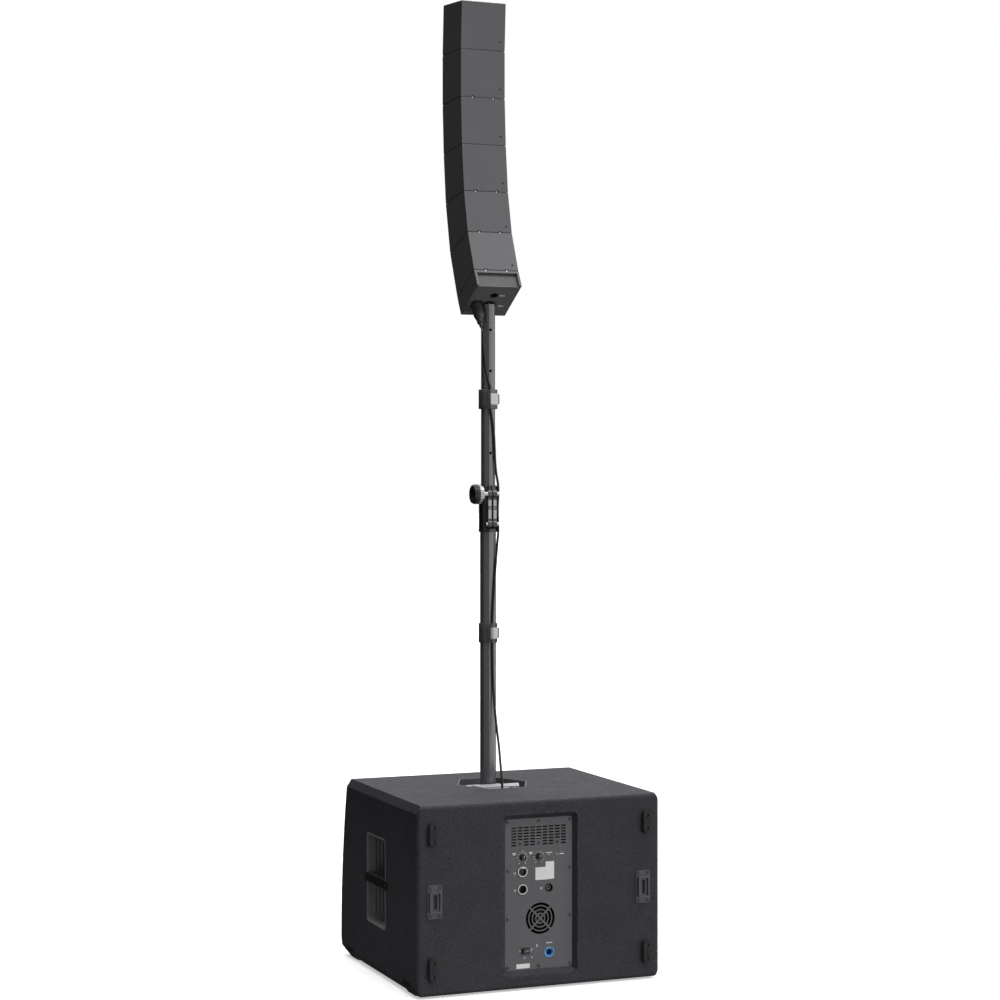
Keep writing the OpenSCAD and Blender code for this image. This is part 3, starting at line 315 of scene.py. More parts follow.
FINISHES = {
    "cabinet_paint": dict(
        colour=(0.041, 0.0397, 0.0465), rough=0.55, depth=0.0018, grain=0.0036, mottle=0.34, cloud=0.2,
        wear=GREY_WEAR, wear_amount=0.35, edge=0.0022, dust=0.012, specular=0.16,
    ),
    # Plywood's grain, with its colour darkened far below bare wood: painted shade inside the cabinet
    "plywood": dict(
        colour=(0.05, 0.037, 0.024), rough=0.6, depth=0.0002, grain=0.003, streaks=(1, 1, 0.08),
    ),
    "cabinet_grille": dict(
        colour=(0.055, 0.055, 0.058), rough=0.42, depth=0.0008, metal=0.2,
        pattern=perforated(pitch=0.0055, radius=0.0019),
    ),
    "satellite_grille": dict(
        colour=(0.055, 0.055, 0.058), rough=0.42, depth=0.0006, metal=0.2,
        pattern=perforated(pitch=0.0034, radius=0.0012),
    ),
    "satellite_paint": dict(
        colour=(0.112, 0.113, 0.121), rough=0.42, depth=0.00012, grain=0.0007, mottle=0.06,
        wear=(0.26, 0.26, 0.265), wear_amount=0.3, edge=0.0012,
    ),
    "panel_paint": dict(
        colour=(0.093, 0.092, 0.1), rough=0.45, depth=0.0004, grain=0.0008, mottle=0.07, edge=0.0003,
        # Black on the faces below the panel's front: painted shade in its vents
        pattern=beyond(1, panel_high.y - PANEL_SHADE_DEPTH, HOLE_AND_SHADE_BLACK, side=-1),
    ),
    "under_panel_paint": dict(
        colour=(0.13, 0.13, 0.137), rough=0.5, depth=0.00014, grain=0.0008, mottle=0.07, wear=GREY_WEAR,
    ),
    "plug_plastic": dict(
        colour=(0.045, 0.045, 0.049), rough=0.42, depth=0.00012, grain=0.0007, wear=(0.12, 0.12, 0.12),
        edge=0.0007,
    ),
    # A dark sheet for the floor of the adapter's rear recess: painted shade
    "recess_painted_shade": dict(
        colour=(0.06, 0.06, 0.066), rough=0.4, depth=0.00008, grain=0.0007, mottle=0.06,
    ),
    "black_plastic": dict(
        colour=(0.014, 0.014, 0.015), rough=0.42, depth=0.00012, grain=0.0007, wear=(0.05, 0.05, 0.05),
        edge=0.0007,
    ),
    "dish_plastic": dict(
        colour=(0.1, 0.1, 0.105), rough=0.5, depth=0.00018, grain=0.0009, wear=(0.14, 0.14, 0.14),
        edge=0.0012, dust=0.05,
    ),
    "port_plastic": dict(
        colour=(0.19, 0.19, 0.195), rough=0.36, depth=0.00015, grain=0.0009, wear=(0.2, 0.2, 0.2),
        edge=0.001,
    ),
    "black_rubber": dict(
        colour=(0.01, 0.01, 0.01), rough=0.72, depth=0.0001, grain=0.0006, wear=(0.05, 0.05, 0.05),
        edge=0.0012,
    ),
    "black_steel": dict(
        colour=(0.02, 0.02, 0.022), rough=0.4, depth=0.0001, grain=0.0008, wear=METAL_WEAR,
        wear_amount=0.3,
    ),
    "handle_steel": dict(
        colour=(0.007, 0.007, 0.008), rough=0.5, depth=0.0001, grain=0.0008, wear=(0.12, 0.12, 0.12),
        wear_amount=0.2, edge=0.0012,
    ),
    "catch_steel": dict(
        colour=(0.075, 0.075, 0.08), rough=0.45, depth=0.00006, metal=0.2, grain=0.0006,
        wear=(0.3, 0.3, 0.3), wear_amount=0.4, edge=0.0008,
    ),
    "dark_steel": dict(
        colour=(0.2, 0.2, 0.205), rough=0.34, depth=0.00004, metal=0.9, grain=0.0005, wear=METAL_WEAR,
        edge=0.0004,
    ),
    "bright_steel": dict(
        colour=(0.42, 0.42, 0.43), rough=0.42, depth=0.00002, metal=0.2, grain=0.0011, mottle=0.03,
        streaks=(0.06, 1, 1),
    ),
    "screw_steel": dict(
        colour=(0.42, 0.42, 0.43), rough=0.3, depth=0.00004, metal=0.95, grain=0.0004,
        wear=(0.7, 0.7, 0.7), edge=0.0004,
    ),
    "pole_finish": dict(
        colour=(0.095, 0.093, 0.103), rough=0.2, depth=0.00001, grain=0.0009, mottle=0.05,
        streaks=(1, 1, 0.03), wear=METAL_WEAR, wear_amount=0.1, edge=0.0004, specular=1.0, coat=0.9,
    ),
    "collar_finish": dict(
        colour=(0.012, 0.012, 0.014), rough=0.24, depth=0.00006, grain=0.0009, wear=METAL_WEAR,
        wear_amount=0.2, edge=0.0014, specular=0.8,
    ),
    "knob_metal": dict(
        colour=(0.4, 0.4, 0.41), rough=0.28, depth=0.00004, metal=0.95, grain=0.0009, mottle=0.05,
        edge=0.0008, pattern=beyond(0, KNOB_CAP_X, SOFT_BLACK), pattern_metal=0.0,
    ),
    "clamp_bar": dict(colour=(0.5, 0.5, 0.52), rough=0.4, depth=0.00005, grain=0.0008, mottle=0.05),
    "cone_paper": dict(colour=(0.02, 0.02, 0.021), rough=0.8, depth=0.0003, grain=0.002),
    "ferrite": dict(
        colour=(0.05, 0.05, 0.055), rough=0.6, depth=0.0001, metal=0.3, grain=0.001, wear=METAL_WEAR,
    ),
    "sink_black": dict(
        colour=(0.004, 0.004, 0.004), rough=0.7, depth=0.00005, grain=0.0008, specular=0.2,
    ),
    "circuit_green": dict(colour=(0.002, 0.012, 0.005), rough=0.4, depth=0.0001, grain=0.002),
    "blue_plastic": dict(
        colour=(0.09, 0.44, 0.85), rough=0.3, depth=0.00005, grain=0.0005,
        pattern=disc_about(inlet_x, inlet_z, INLET_BORE, SOCKET_BLUE),
    ),
    "cable_rubber": dict(
        colour=(0.012, 0.012, 0.012), rough=0.42, depth=0.0001, streaks=(1, 1, 0.15),
    ),
    "webbing": dict(
        colour=(0.13, 0.13, 0.137), rough=0.32, depth=0.00015, grain=0.0008, mottle=0.2, specular=0.8,
        pattern=weave(pitch=0.0022),
    ),
    "strap_tab": dict(
        colour=(0.56, 0.56, 0.58), rough=0.3, depth=0.00008, grain=0.0008, mottle=0.07,
        streaks=(0.1, 0.1, 1), coat=0.3,
    ),
    "hook_zinc": dict(
        colour=(0.5, 0.5, 0.51), rough=0.35, depth=0.00004, metal=0.3, grain=0.0006, mottle=0.06,
        edge=0.0003,
    ),
    "white_print_and_glint": dict(
        colour=(0.85, 0.85, 0.86), rough=0.6, depth=0.00001, grain=0.0004, mottle=0.05,
    ),
    "grey_print": dict(
        colour=(0.36, 0.36, 0.37), rough=0.6, depth=0.00001, grain=0.0004, mottle=0.05,
    ),
    "paper_label": dict(colour=(0.8, 0.8, 0.79), rough=0.45, depth=0.00003, mottle=0.03),
    "led_lens": dict(
        colour=(0.62, 0.66, 0.62), rough=0.18, depth=0.00001, grain=0.001, mottle=0.05, coat=0.6,
    ),
}
finish = {name: surface(name, **settings) for name, settings in FINISHES.items()}

NODE_FINISH = {
    "cabinet_shell": "cabinet_paint", "baffle": "plywood", "cabinet_brace": "plywood",
    "front_grille": "cabinet_grille", "woofer_basket": "black_steel", "woofer_magnet": "ferrite",
    "woofer_cone": "cone_paper", "side_ports": "port_plastic", "side_handles": "handle_steel",
    "rear_feet": "black_rubber", "bottom_feet": "black_plastic", "catch_plates": "catch_steel",
    "cabinet_screws": "black_steel", "top_dish": "dish_plastic", "pole_flange": "bright_steel",
    "dish_socket": "black_plastic", "amp_tray": "cabinet_paint", "amp_panel": "panel_paint",
    "panel_screws": "black_steel", "circuit_board": "circuit_green", "heat_sink": "sink_black",
    "power_supply": "circuit_green", "fan_frame": "black_plastic", "fan_rotor": "black_plastic",
    "level_knob": "black_plastic", "mode_knob": "black_plastic", "xlr_input": "black_plastic",
    "xlr_latch": "white_print_and_glint", "xlr_output": "black_plastic", "speaker_output": "black_plastic",
    "power_inlet": "blue_plastic", "switch_bezel": "black_plastic", "power_rocker": "black_plastic",
    "lower_tube": "pole_finish", "lower_stud": "dark_steel", "clamp_collar": "collar_finish",
    "clamp_bolts": "screw_steel", "clamp_knob": "knob_metal", "lower_strap": "webbing",
    "upper_tube": "pole_finish", "upper_stud": "dark_steel", "upper_strap": "webbing",
    "adapter_shell": "satellite_paint", "adapter_panel": "under_panel_paint",
    "adapter_screws": "screw_steel", "pole_bushes": "dark_steel", "adapter_socket": "black_plastic",
    "speaker_cable": "cable_rubber", "upper_plug": "plug_plastic", "lower_plug": "plug_plastic",
    "single_shell_1": "satellite_paint", "single_shell_2": "satellite_paint",
    "double_shell_1": "satellite_paint", "double_shell_2": "satellite_paint",
    "satellite_grilles": "satellite_grille", "satellite_baffles": "black_plastic",
    "midrange_frames": "black_steel", "midrange_cones": "cone_paper",
    "tweeter_bars": "black_plastic", "latch_hooks": "hook_zinc",
}
for node_name, finish_name in NODE_FINISH.items():
    slots = nodes[node_name].material_slots
    for slot in slots:
        slot.material = finish[finish_name]
    if not slots:
        nodes[node_name].data.materials.append(finish[finish_name])


# ---------------------------------------------------------------- mesh helpers


def new_piece(name, built, material, body, smooth=True):
    """Makes a piece with its finish from a bmesh. It rides on a body, unless that is None."""
    mesh = bpy.data.meshes.new(name)
    bmesh.ops.recalc_face_normals(built, faces=built.faces)
    built.to_mesh(mesh)
    built.free()
    mesh.materials.append(finish[material])
    for polygon in mesh.polygons:
        polygon.use_smooth = smooth
    made = bpy.data.objects.new(name, mesh)
    bpy.context.scene.collection.objects.link(made)
    if body:
        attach(made, body)
    return made


def add_skin(built, rows, capped=False):
    """Quads between equal rings of points. The last ring joins the first one, or both are capped."""
    rings = [[built.verts.new(point) for point in row] for row in rows]
    for low, high in zip(rings, rings[1:] if capped else rings[1:] + rings[:1]):
        for k in range(len(low)):
            m = (k + 1) % len(low)
            built.faces.new((low[k], low[m], high[m], high[k]))
    if capped:
        built.faces.new(rings[0][::-1])
        built.faces.new(rings[-1])


def add_tube(built, points, radius, sides):
    """A closed tube along points, with rings square to the path."""
    rows = []
    last = len(points) - 1
    for i, point in enumerate(points):
        ahead = (points[min(last, i + 1)] - points[max(0, i - 1)]).normalized()
        side = Vector((0, 1, 0)).cross(ahead).normalized()
        up = ahead.cross(side)
        angles = (2 * math.pi * k / sides for k in range(sides))
        rows.append([point + radius * (math.cos(a) * side + math.sin(a) * up) for a in angles])
    add_skin(built, rows, capped=True)


def add_plate(built, outline, place, low, high):
    """A flat prism: outline is a list of (u, v); place(u, v, height) gives the point."""
    add_skin(built, [[place(u, v, height) for u, v in outline] for height in (low, high)], capped=True)


def add_ring(built, centre, inner, outer, place, low, high, sides=48, start=0.0, turn=360.0):
    """A flat ring or arc between two radii."""
    whole = turn >= 360.0
    count = sides if whole else sides + 1
    angles = [math.radians(start + turn * k / sides) for k in range(count)]
    rows = []
    for radius, height in ((inner, low), (outer, low), (outer, high), (inner, high)):
        rows.append([
            built.verts.new(
                place(centre[0] + radius * math.cos(a), centre[1] + radius * math.sin(a), height)
            )
            for a in angles
        ])
    for low_row, high_row in zip(rows, rows[1:] + rows[:1]):
        for k in range(sides):
            m = (k + 1) % count
            built.faces.new((low_row[k], low_row[m], high_row[m], high_row[k]))
    if not whole:
        built.faces.new([row[0] for row in rows])
        built.faces.new([row[-1] for row in rows][::-1])


def box_outline(u0, u1, v0, v1, corner=0.0):
    """A rectangle's outline, with rounded-off corners if corner is more than zero."""
    u0, u1 = sorted((u0, u1))
    v0, v1 = sorted((v0, v1))
    if not corner:
        return [(u0, v0), (u1, v0), (u1, v1), (u0, v1)]
    c, d = corner, corner * 0.3
    return [
        (u0 + c, v0), (u1 - c, v0), (u1 - d, v0 + d), (u1, v0 + c), (u1, v1 - c), (u1 - d, v1 - d),
        (u1 - c, v1), (u0 + c, v1), (u0 + d, v1 - d), (u0, v1 - c), (u0, v0 + c), (u0 + d, v0 + d),
    ]


def circle_outline(u, v, radius, sides=24):
    """A circle's outline about (u, v)."""
    angles = (2 * math.pi * k / sides for k in range(sides))
    return [(u + radius * math.cos(a), v + radius * math.sin(a)) for a in angles]


def turned(outline, about, degrees):
    """Turns an outline about a point."""
    c, s = math.cos(math.radians(degrees)), math.sin(math.radians(degrees))
    return [(about[0] + c * u - s * v, about[1] + s * u + c * v) for u, v in outline]


# ---------------------------------------------------------------- cable
# It goes from the lower plug up along the pole, under both straps, to the upper plug.

POLE_Y = -0.0595
CABLE_DIAMETER = 0.006
CABLE_SIDES = 16
STEPS_PER_POINT = 6
PLUG_LENGTH = 0.066
SEAT = 0.043
STRAIGHT_RUN = 0.018
LOWER_PLUG_X = 0.005
LOWER_PLUG_BEHIND_POLE = 0.106
TILT = math.radians(30.6)
REARWARD = Vector((0, math.cos(TILT), math.sin(TILT)))
INWARD = Vector((0, -math.sin(TILT), math.cos(TILT)))
POLE_TOP_Z = 1.630
POLE_ENTRY = 0.040
UPPER_PLUG_X = 0.034
UPPER_PLUG_FROM_FRONT = 0.048
FLANGE = 0.0025

lower_plug_foot = Vector(
    (LOWER_PLUG_X, POLE_Y + LOWER_PLUG_BEHIND_POLE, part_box("lower_plug")[1].z - PLUG_LENGTH)
)
underside_front = Vector((0, POLE_Y, POLE_TOP_Z)) - POLE_ENTRY * REARWARD


def lower_plug_point(along):
    """A point on the lower plug's axis, which stands upright in the dish."""
    return lower_plug_foot + Vector((0, 0, along))


def upper_plug_point(along):
    """A point on the upper plug's axis, which hangs square to the adapter's underside."""
    mouth = underside_front + Vector((UPPER_PLUG_X, 0, 0)) + UPPER_PLUG_FROM_FRONT * REARWARD
    return mouth - (FLANGE + along) * INWARD


# The first two numbers are from the pole's axis, and the third is the height above the floor
CABLE_ROUTE_MM = [
    (4.5, 101, 470), (2.5, 89, 498), (-1.5, 71, 532), (-4.5, 52, 568), (-6, 36, 608), (-5, 26.8, 658),
    (-4.2, 24.2, 690), (-3.2, 24.4, 720), (-2.1, 25, 783), (-2.1, 25, 816), (-2.1, 25, 850),
    (-4.8, 23, 895), (-8.8, 21.4, 946), (-13.3, 19.4, 996), (-17.2, 19.2, 1040), (-19.8, 19, 1066),
    (-20.8, 16.4, 1087), (-17.6, 20.2, 1125), (-20.8, 16.4, 1162), (-19.8, 17.4, 1187),
    (-15, 16.8, 1215), (-11.8, 17.6, 1246), (-9.7, 19, 1284), (-7.4, 20, 1315), (-2.4, 21.4, 1350),
    (2.6, 21.3, 1376), (2.6, 21.3, 1400), (2.6, 21.3, 1424), (8.4, 21.6, 1444), (12.5, 23, 1458),
    (17, 26.5, 1473), (21, 31, 1488), (24.5, 35.5, 1503), (28, 40, 1518), (31.5, 44.5, 1532),
    (33.6, 48.2, 1546),
]


def on_pole(x, y, z):
    """A point in mm from the pole's axis, and its height above the floor."""
    return Vector((x * MM, POLE_Y + y * MM, z * MM))


def smoothed(points, steps):
    """A Catmull-Rom curve through the points."""
    out = []
    last = len(points) - 1
    for i in range(last):
        a, b, c, d = (points[max(0, min(last, j))] for j in (i - 1, i, i + 1, i + 2))
        for t in (s / steps for s in range(steps)):
            squared = 2 * a - 5 * b + 4 * c - d
            cubed = 3 * b - 3 * c + d - a
            out.append(0.5 * (2 * b + (c - a) * t + squared * t**2 + cubed * t**3))
    return out + [points[-1]]


plug_steps = (SEAT, PLUG_LENGTH, PLUG_LENGTH + STRAIGHT_RUN)
route = [lower_plug_point(along) for along in plug_steps]
route += [on_pole(*point) for point in CABLE_ROUTE_MM]
route += [upper_plug_point(along) for along in reversed(plug_steps)]
cable_path = smoothed(route, STEPS_PER_POINT)
sheath = bmesh.new()
add_tube(sheath, cable_path, CABLE_DIAMETER / 2, CABLE_SIDES)
cable = new_piece("speaker_cable_sheath", sheath, "cable_rubber", None)
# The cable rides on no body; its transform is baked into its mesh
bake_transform(cable)
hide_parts("speaker_cable")

# ---------------------------------------------------------------- straps round the pole and cable
# Lengths here are in mm, about the pole's axis.

BAND_RADIUS = 23.5
BAND_MIDDLE = 24
# Radii of the belt's inside and outside where it passes round the cable
ROUND_CABLE_INSIDE = 3.3
ROUND_CABLE_OUTSIDE = 5.4
# (depth, height): depth is 0 at the tube and BAND_DEPTH at the outside; the outer layer is taller
BAND_DEPTH = 6.0
OUTER_LAYER_FROM = 4
BAND_PROFILE = [
    (0.2, 1.2), (2.6, 0.9), (2.9, 0.2), (5.4, 0.0), (6.0, 0.7), (6.05, 16.0), (5.85, 24.0), (6.05, 32.0),
    (6.0, 47.3), (5.4, 48.0), (2.9, 47.8), (2.6, 46.9), (0.2, 46.6), (0.2, 24.0),
]
# The band is thinner over the cable: this share of its depth
CABLE_SIDE_SHARE = 0.36
TOP_WAVE = 0.35
WAVES_ROUND = 5
# A strap end: places across its height, its thickness, how much its tips and its sides thin, its corners
END_STEPS = (-1.0, -0.93, -0.6, -0.2, 0.2, 0.6, 0.93, 1.0)
END_THICKNESS = 1.3
END_TAPER = 0.25
END_CROWN = 0.3
END_CORNER = 1.4
END_SPACING = 3
BELT_POINTS = 720
LEAST_STEP = 1e-9


def wrap_outline(tube_r, cable_at, cable_r, count=120):
    """Evenly spaced points of a belt pulled round the tube and the cable."""
    corners = []
    for k in range(BELT_POINTS):
        a = 2 * math.pi * k / BELT_POINTS
        out = Vector((math.sin(a), math.cos(a)))
        on_tube = tube_r > cable_at.dot(out) + cable_r
        corners.append(tube_r * out if on_tube else cable_at + cable_r * out)
    corners.append(corners[0])
    steps = [(b - a).length for a, b in zip(corners, corners[1:])]
    total, out, at, done = sum(steps), [], 0, 0.0
    for k in range(count):
        target = total * k / count
        while done + steps[at] < target:
            done += steps[at]
            at += 1
        out.append(corners[at].lerp(corners[at + 1], (target - done) / max(steps[at], LEAST_STEP)))
    return out


def angle_of(point):
    """The angle from +Y towards +X, in radians."""
    return math.atan2(point.x, point.y)


def strap_band(name, body, low_z, tube_r, cable_at):
    """The wound band: an inner layer and a taller outer one with a wavy top, in one closed mesh."""
    rows = []
    for depth, z in BAND_PROFILE:
        radius = tube_r + depth * (BAND_RADIUS - tube_r) / BAND_DEPTH
        wave = TOP_WAVE if z > BAND_MIDDLE and depth > OUTER_LAYER_FROM else 0.0
        rows.append([
            on_pole(p.x, p.y, low_z + z + wave * math.sin(WAVES_ROUND * angle_of(p)))
            for p in wrap_outline(radius, cable_at, ROUND_CABLE_INSIDE + depth * CABLE_SIDE_SHARE)
        ])
    band = bmesh.new()
    add_skin(band, rows)
    made = new_piece(name + "_band", band, "webbing", body)
    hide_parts(name)


def strap_end(name, body, low_z, cable_at, span, half, lift, finish_name):
    """A curved length of strap on the band.

    span is its first and last angle in degrees, half is half its height, and lift is how far it stands
    off the band at both of them.
    """
    first, last = span
    belt = sorted(wrap_outline(BAND_RADIUS, cable_at, ROUND_CABLE_OUTSIDE, BELT_POINTS), key=angle_of)
    picked = [p for p in belt if last <= math.degrees(angle_of(p)) <= first][::-END_SPACING]
    columns = len(picked)
    built = bmesh.new()
    layers = []
    for side, thickness in ((-1, 0.0), (1, END_THICKNESS)):
        layer = []
        for i, p in enumerate(picked):
            t = i / (columns - 1)
            from_end = min(i, columns - 1 - i)
            reach = half - max(0.0, END_CORNER - from_end * END_CORNER / 2)
            away = lift[0] + (lift[1] - lift[0]) * t * t + thickness
            if from_end == 0:
                away -= END_TAPER * side
            column = []
            for v in END_STEPS:
                q = p + p.normalized() * (away - side * END_CROWN * abs(v) ** 3)
                column.append(built.verts.new(on_pole(q.x, q.y, low_z + BAND_MIDDLE + v * reach)))
            layer.append(column)
        layers.append(layer)
    back, front = layers
    for table, flip in ((front, 1), (back, -1)):
        for a, b in zip(table, table[1:]):
            for k in range(len(a) - 1):
                built.faces.new((a[k], b[k], b[k + 1], a[k + 1])[::flip])
    for a, b, c, d in zip(front, front[1:], back, back[1:]):
        built.faces.new((a[0], b[0], d[0], c[0]))
        built.faces.new((a[-1], c[-1], d[-1], b[-1]))
    for edge, other in ((front[0], back[0]), (front[-1], back[-1])):
        for k in range(len(edge) - 1):
            built.faces.new((edge[k], edge[k + 1], other[k + 1], other[k]))
    new_piece(name, built, finish_name, body)


STRAPS = (
    ("upper_strap", "mast", 1374, 17.5, Vector((2.6, 21.3))),
    ("lower_strap", "cabinet", 793, 19.0, Vector((-2.1, 25.0))),
)
STRAP_ENDS = (
    ("_tab", (9, -50), 14.0, (0.5, 2.6), "strap_tab"),
    ("_tail", (-51, -64), 12.5, (2.6, 4.0), "webbing"),
    ("_fold", (25, 10), 13.0, (0.2, 0.9), "webbing"),
)
for name, body, low_z, tube_r, cable_at in STRAPS:
    strap_band(name, body, low_z, tube_r, cable_at)
    for suffix, *shape in STRAP_ENDS:
        strap_end(name + suffix, body, low_z, cable_at, *shape)

# ---------------------------------------------------------------- plates on the clamp's lugs

LUG_FACE_BEHIND_POLE = 0.029
collar_foot_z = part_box("clamp_collar")[0].z


def on_lug(u, v, h):
    """A point on the collar's split face, in mm: across, up from the collar's foot, and outward."""
    return Vector((u * MM, POLE_Y + LUG_FACE_BEHIND_POLE + h * MM, collar_foot_z + v * MM))


bars = bmesh.new()
for side in (-1, 1):
    for low_v, high_v in ((33, 55.5), (58, 60.6), (63.5, 79.5)):
        add_plate(bars, box_outline(side * 2.6, side * 10.8, low_v, high_v, 1.2), on_lug, -0.2, 0.9)
        top = box_outline(side * 3.2, side * 10.2, low_v + 0.5, high_v - 0.5, 0.9)
        add_plate(bars, top, on_lug, 0.8, 1.2)
new_piece("clamp_bars", bars, "clamp_bar", "cabinet", smooth=False)

# ---------------------------------------------------------------- amplifier panel: print, lamps, labels
# Places here are in mm across and up from the panel's middle. Plain marks stand in for the lettering.

panel_mid_z = (panel_low.z + panel_high.z) / 2
FILM = 0.12
LABEL = 0.18
DIAL_X = {"level_knob": 41.8, "mode_knob": 0.0}
DIAL_V = 87.0
SIGNAL_U, INPUT_V, OUTPUT_V = 41.5, 53.0, 11.5
SPEAKER_AT = (-26.6, 11.5)
INLET_AT = (-26.6, -140.5)
ROCKER_AT = (34.0, -134.0)
# The dials' marks, in degrees, and the heights of the pointers: in the dial's top, and just above it
MARKS = 11
FIRST_MARK = 240
MARK_STEP = 30
LONG_MARK_EVERY = 5
POINTER_HEIGHTS = (11.9, 13.15)


def on_panel(u, v, h):
    """A point on the panel, in mm: across and up from its middle, and out of its face."""
    return Vector((u * MM, panel_high.y + h * MM, panel_mid_z + v * MM))


def print_plate(built, outline, place=on_panel):
    """A flat printed mark."""
    add_plate(built, outline, place, 0.0, FILM)


def print_ring(built, centre, inner, outer, sides=48, place=on_panel, **arc):
    """A printed ring, or an arc of one."""
    add_ring(built, centre, inner, outer, place, 0.0, FILM, sides, **arc)


white = bmesh.new()
# The dials: a scale of marks, an arc, and a small ring under each end of the scale
for dial_x in DIAL_X.values():
    for step in range(MARKS):
        mark = box_outline(11.6, 14.6 if step % LONG_MARK_EVERY else 15.4, -0.45, 0.45)
        print_plate(white, turned(mark, (dial_x, DIAL_V), FIRST_MARK - step * MARK_STEP))
    print_ring(white, (dial_x, DIAL_V), 10.1, 10.5, start=-60, turn=300)
    for side in (-1, 1):
        print_ring(white, (dial_x + side * 8.0, DIAL_V - 14.5), 0.7, 1.3, sides=16)
# A pair of bars beside each dial, and a bar over each lamp group and over the mains inlet
for u, v in ((62.4, 96.9), (20.4, 96.9)):
    print_plate(white, box_outline(u - 4.5, u + 4.5, v - 1.1, v + 1.1, 0.4))
    print_plate(white, box_outline(u - 3.4, u + 3.4, v - 4.0, v - 2.6, 0.3))
for u0, u1, v in ((-17.7, -34.8, 94.2), (-53.2, -65.0, 89.5), (-19.0, -34.8, -118.7)):
    print_plate(white, box_outline(u0, u1, v - 0.9, v + 0.9, 0.4))
# A ring with three dots beside each connector
for u, v in ((61.0, 50.4), (60.5, 9.6), (-6.7, 11.2)):
    print_ring(white, (u, v), 2.1, 2.8, sides=24)
    for angle in (90, 210, 330):
        print_plate(white, turned(circle_outline(1.1, 0, 0.42, 10), (u, v), angle))
# Small marks round the rocker, and three bars at the panel's top
for v in (-131.5, -149.9):
    print_plate(white, [(16.2, v - 1.8), (20.2, v), (16.2, v + 1.8)])
print_ring(white, (48.6, -134.0), 1.5, 2.1, sides=20)
print_plate(white, box_outline(20.6, 21.4, -136.0, -132.0))
print_ring(white, (35.6, -149.7), 1.6, 2.3, sides=24)
print_plate(white, box_outline(3.6, 5.4, -119.5, -126.9, 0.3))
for u in (-3.0, 0.0, 3.0):
    print_plate(white, box_outline(u - 0.9, u + 0.9, 130.4, 131.2))
new_piece("panel_print", white, "white_print_and_glint", "cabinet", smooth=False)

# Rings on the connectors, and a painted highlight in the mains inlet: radii, and heights from the
# panel's face
rims = bmesh.new()
for v in (INPUT_V, OUTPUT_V):
    add_ring(rims, (SIGNAL_U, v), 10.3, 12.1, on_panel, 1.35, 1.75, sides=64)
new_piece("connector_rims", rims, "white_print_and_glint", "cabinet")
core = bmesh.new()
add_ring(core, SPEAKER_AT, 3.6, 5.0, on_panel, -3.95, -3.6)
new_piece("connector_cores", core, "grey_print", "cabinet")
# A white arc in the mains inlet: a painted highlight
glint = bmesh.new()
add_ring(glint, INLET_AT, 7.4, 9.0, on_panel, -4.05, -3.8, sides=30, start=-60, turn=200)
new_piece("inlet_painted_glint", glint, "white_print_and_glint", "cabinet")

# Domed lamps, sunk a little into the panel
LAMP_SIDES = 20
DOME_RINGS = 6
DOME_STEP = math.pi / 2 / 5.5
DOME_HEIGHT = 0.75
LAMP_FOOT = -1.0
lamps = bmesh.new()
for u, v, radius in ((-26.1, 89.3, 1.7), (-46.6, 89.4, 1.7), (-59.0, 93.6, 1.3)):
    circles = [(radius, LAMP_FOOT)]
    for a in (DOME_STEP * k for k in range(DOME_RINGS)):
        circles.append((radius * math.cos(a), radius * DOME_HEIGHT * math.sin(a)))
    rows = [[on_panel(*p, h) for p in circle_outline(u, v, r, LAMP_SIDES)] for r, h in circles]
    add_skin(lamps, rows, capped=True)
new_piece("panel_lamps", lamps, "led_lens", "cabinet")

paper = bmesh.new()
sticker = [
    (8.5, 31.2), (8.5, 61.1), (-17.7, 61.1), (-17.7, 73.3), (-39.5, 73.3), (-39.5, 32.0), (-17.7, 31.0),
    (-17.0, 31.0),
]
for label in (sticker, box_outline(57.1, 23.0, -163.6, -174.6, 1.0)):
    add_plate(paper, label, on_panel, 0.0, LABEL)
new_piece("blank_labels", paper, "paper_label", "cabinet", smooth=False)

# Pointer lines on the two dials, which turn with them
for name, dial_x in DIAL_X.items():
    pointer = bmesh.new()
    line = box_outline(dial_x - 0.42, dial_x + 0.42, DIAL_V + 0.4, DIAL_V + 5.7, 0.2)
    add_plate(pointer, line, on_panel, *POINTER_HEIGHTS)
    new_piece(name + "_pointer", pointer, "white_print_and_glint", name, smooth=False)

# ---------------------------------------------------------------- marks on the rocker, tilting with it

ROCKER_TILT = math.radians(12)
ROCKER_PIVOT_DEPTH = 4.0
ROCKER_FACE = 5.4
ROCKER_FACE_SLOPE = 0.203


def on_rocker(u, v, h):
    """A point on the rocker's face, in mm about its pivot: across, up, and out of the face."""
    out = ROCKER_FACE + abs(u) * ROCKER_FACE_SLOPE + h
    x = u * math.cos(ROCKER_TILT) - out * math.sin(ROCKER_TILT)
    y = u * math.sin(ROCKER_TILT) + out * math.cos(ROCKER_TILT)
    return on_panel(ROCKER_AT[0] + x, ROCKER_AT[1] + v, y - ROCKER_PIVOT_DEPTH)


marks = bmesh.new()
print_plate(marks, box_outline(4.0, 4.6, -2.2, 2.2), on_rocker)
print_ring(marks, (-4.2, 0.0), 1.2, 1.8, sides=20, place=on_rocker)
new_piece("rocker_marks", marks, "white_print_and_glint", "power_rocker", smooth=False)

# ---------------------------------------------------------------- adapter's underside and rear recess


def on_under(u, v, h):
    """A point on the adapter's underside, in mm: across, rearward, and out of the face."""
    return underside_front + Vector((u * MM, 0, 0)) + v * MM * REARWARD - h * MM * INWARD


arrows = bmesh.new()
for u, v in ((-14.5, 86.0), (-25.5, 42.0)):
    print_plate(arrows, [(u, v), (u - 6.0, v + 4.5), (u - 6.0, v - 4.5)], on_under)
    print_plate(arrows, box_outline(u - 6.0, u - 15.0, v - 1.3, v + 1.3), on_under)
new_piece("adapter_arrows", arrows, "white_print_and_glint", "mast", smooth=False)

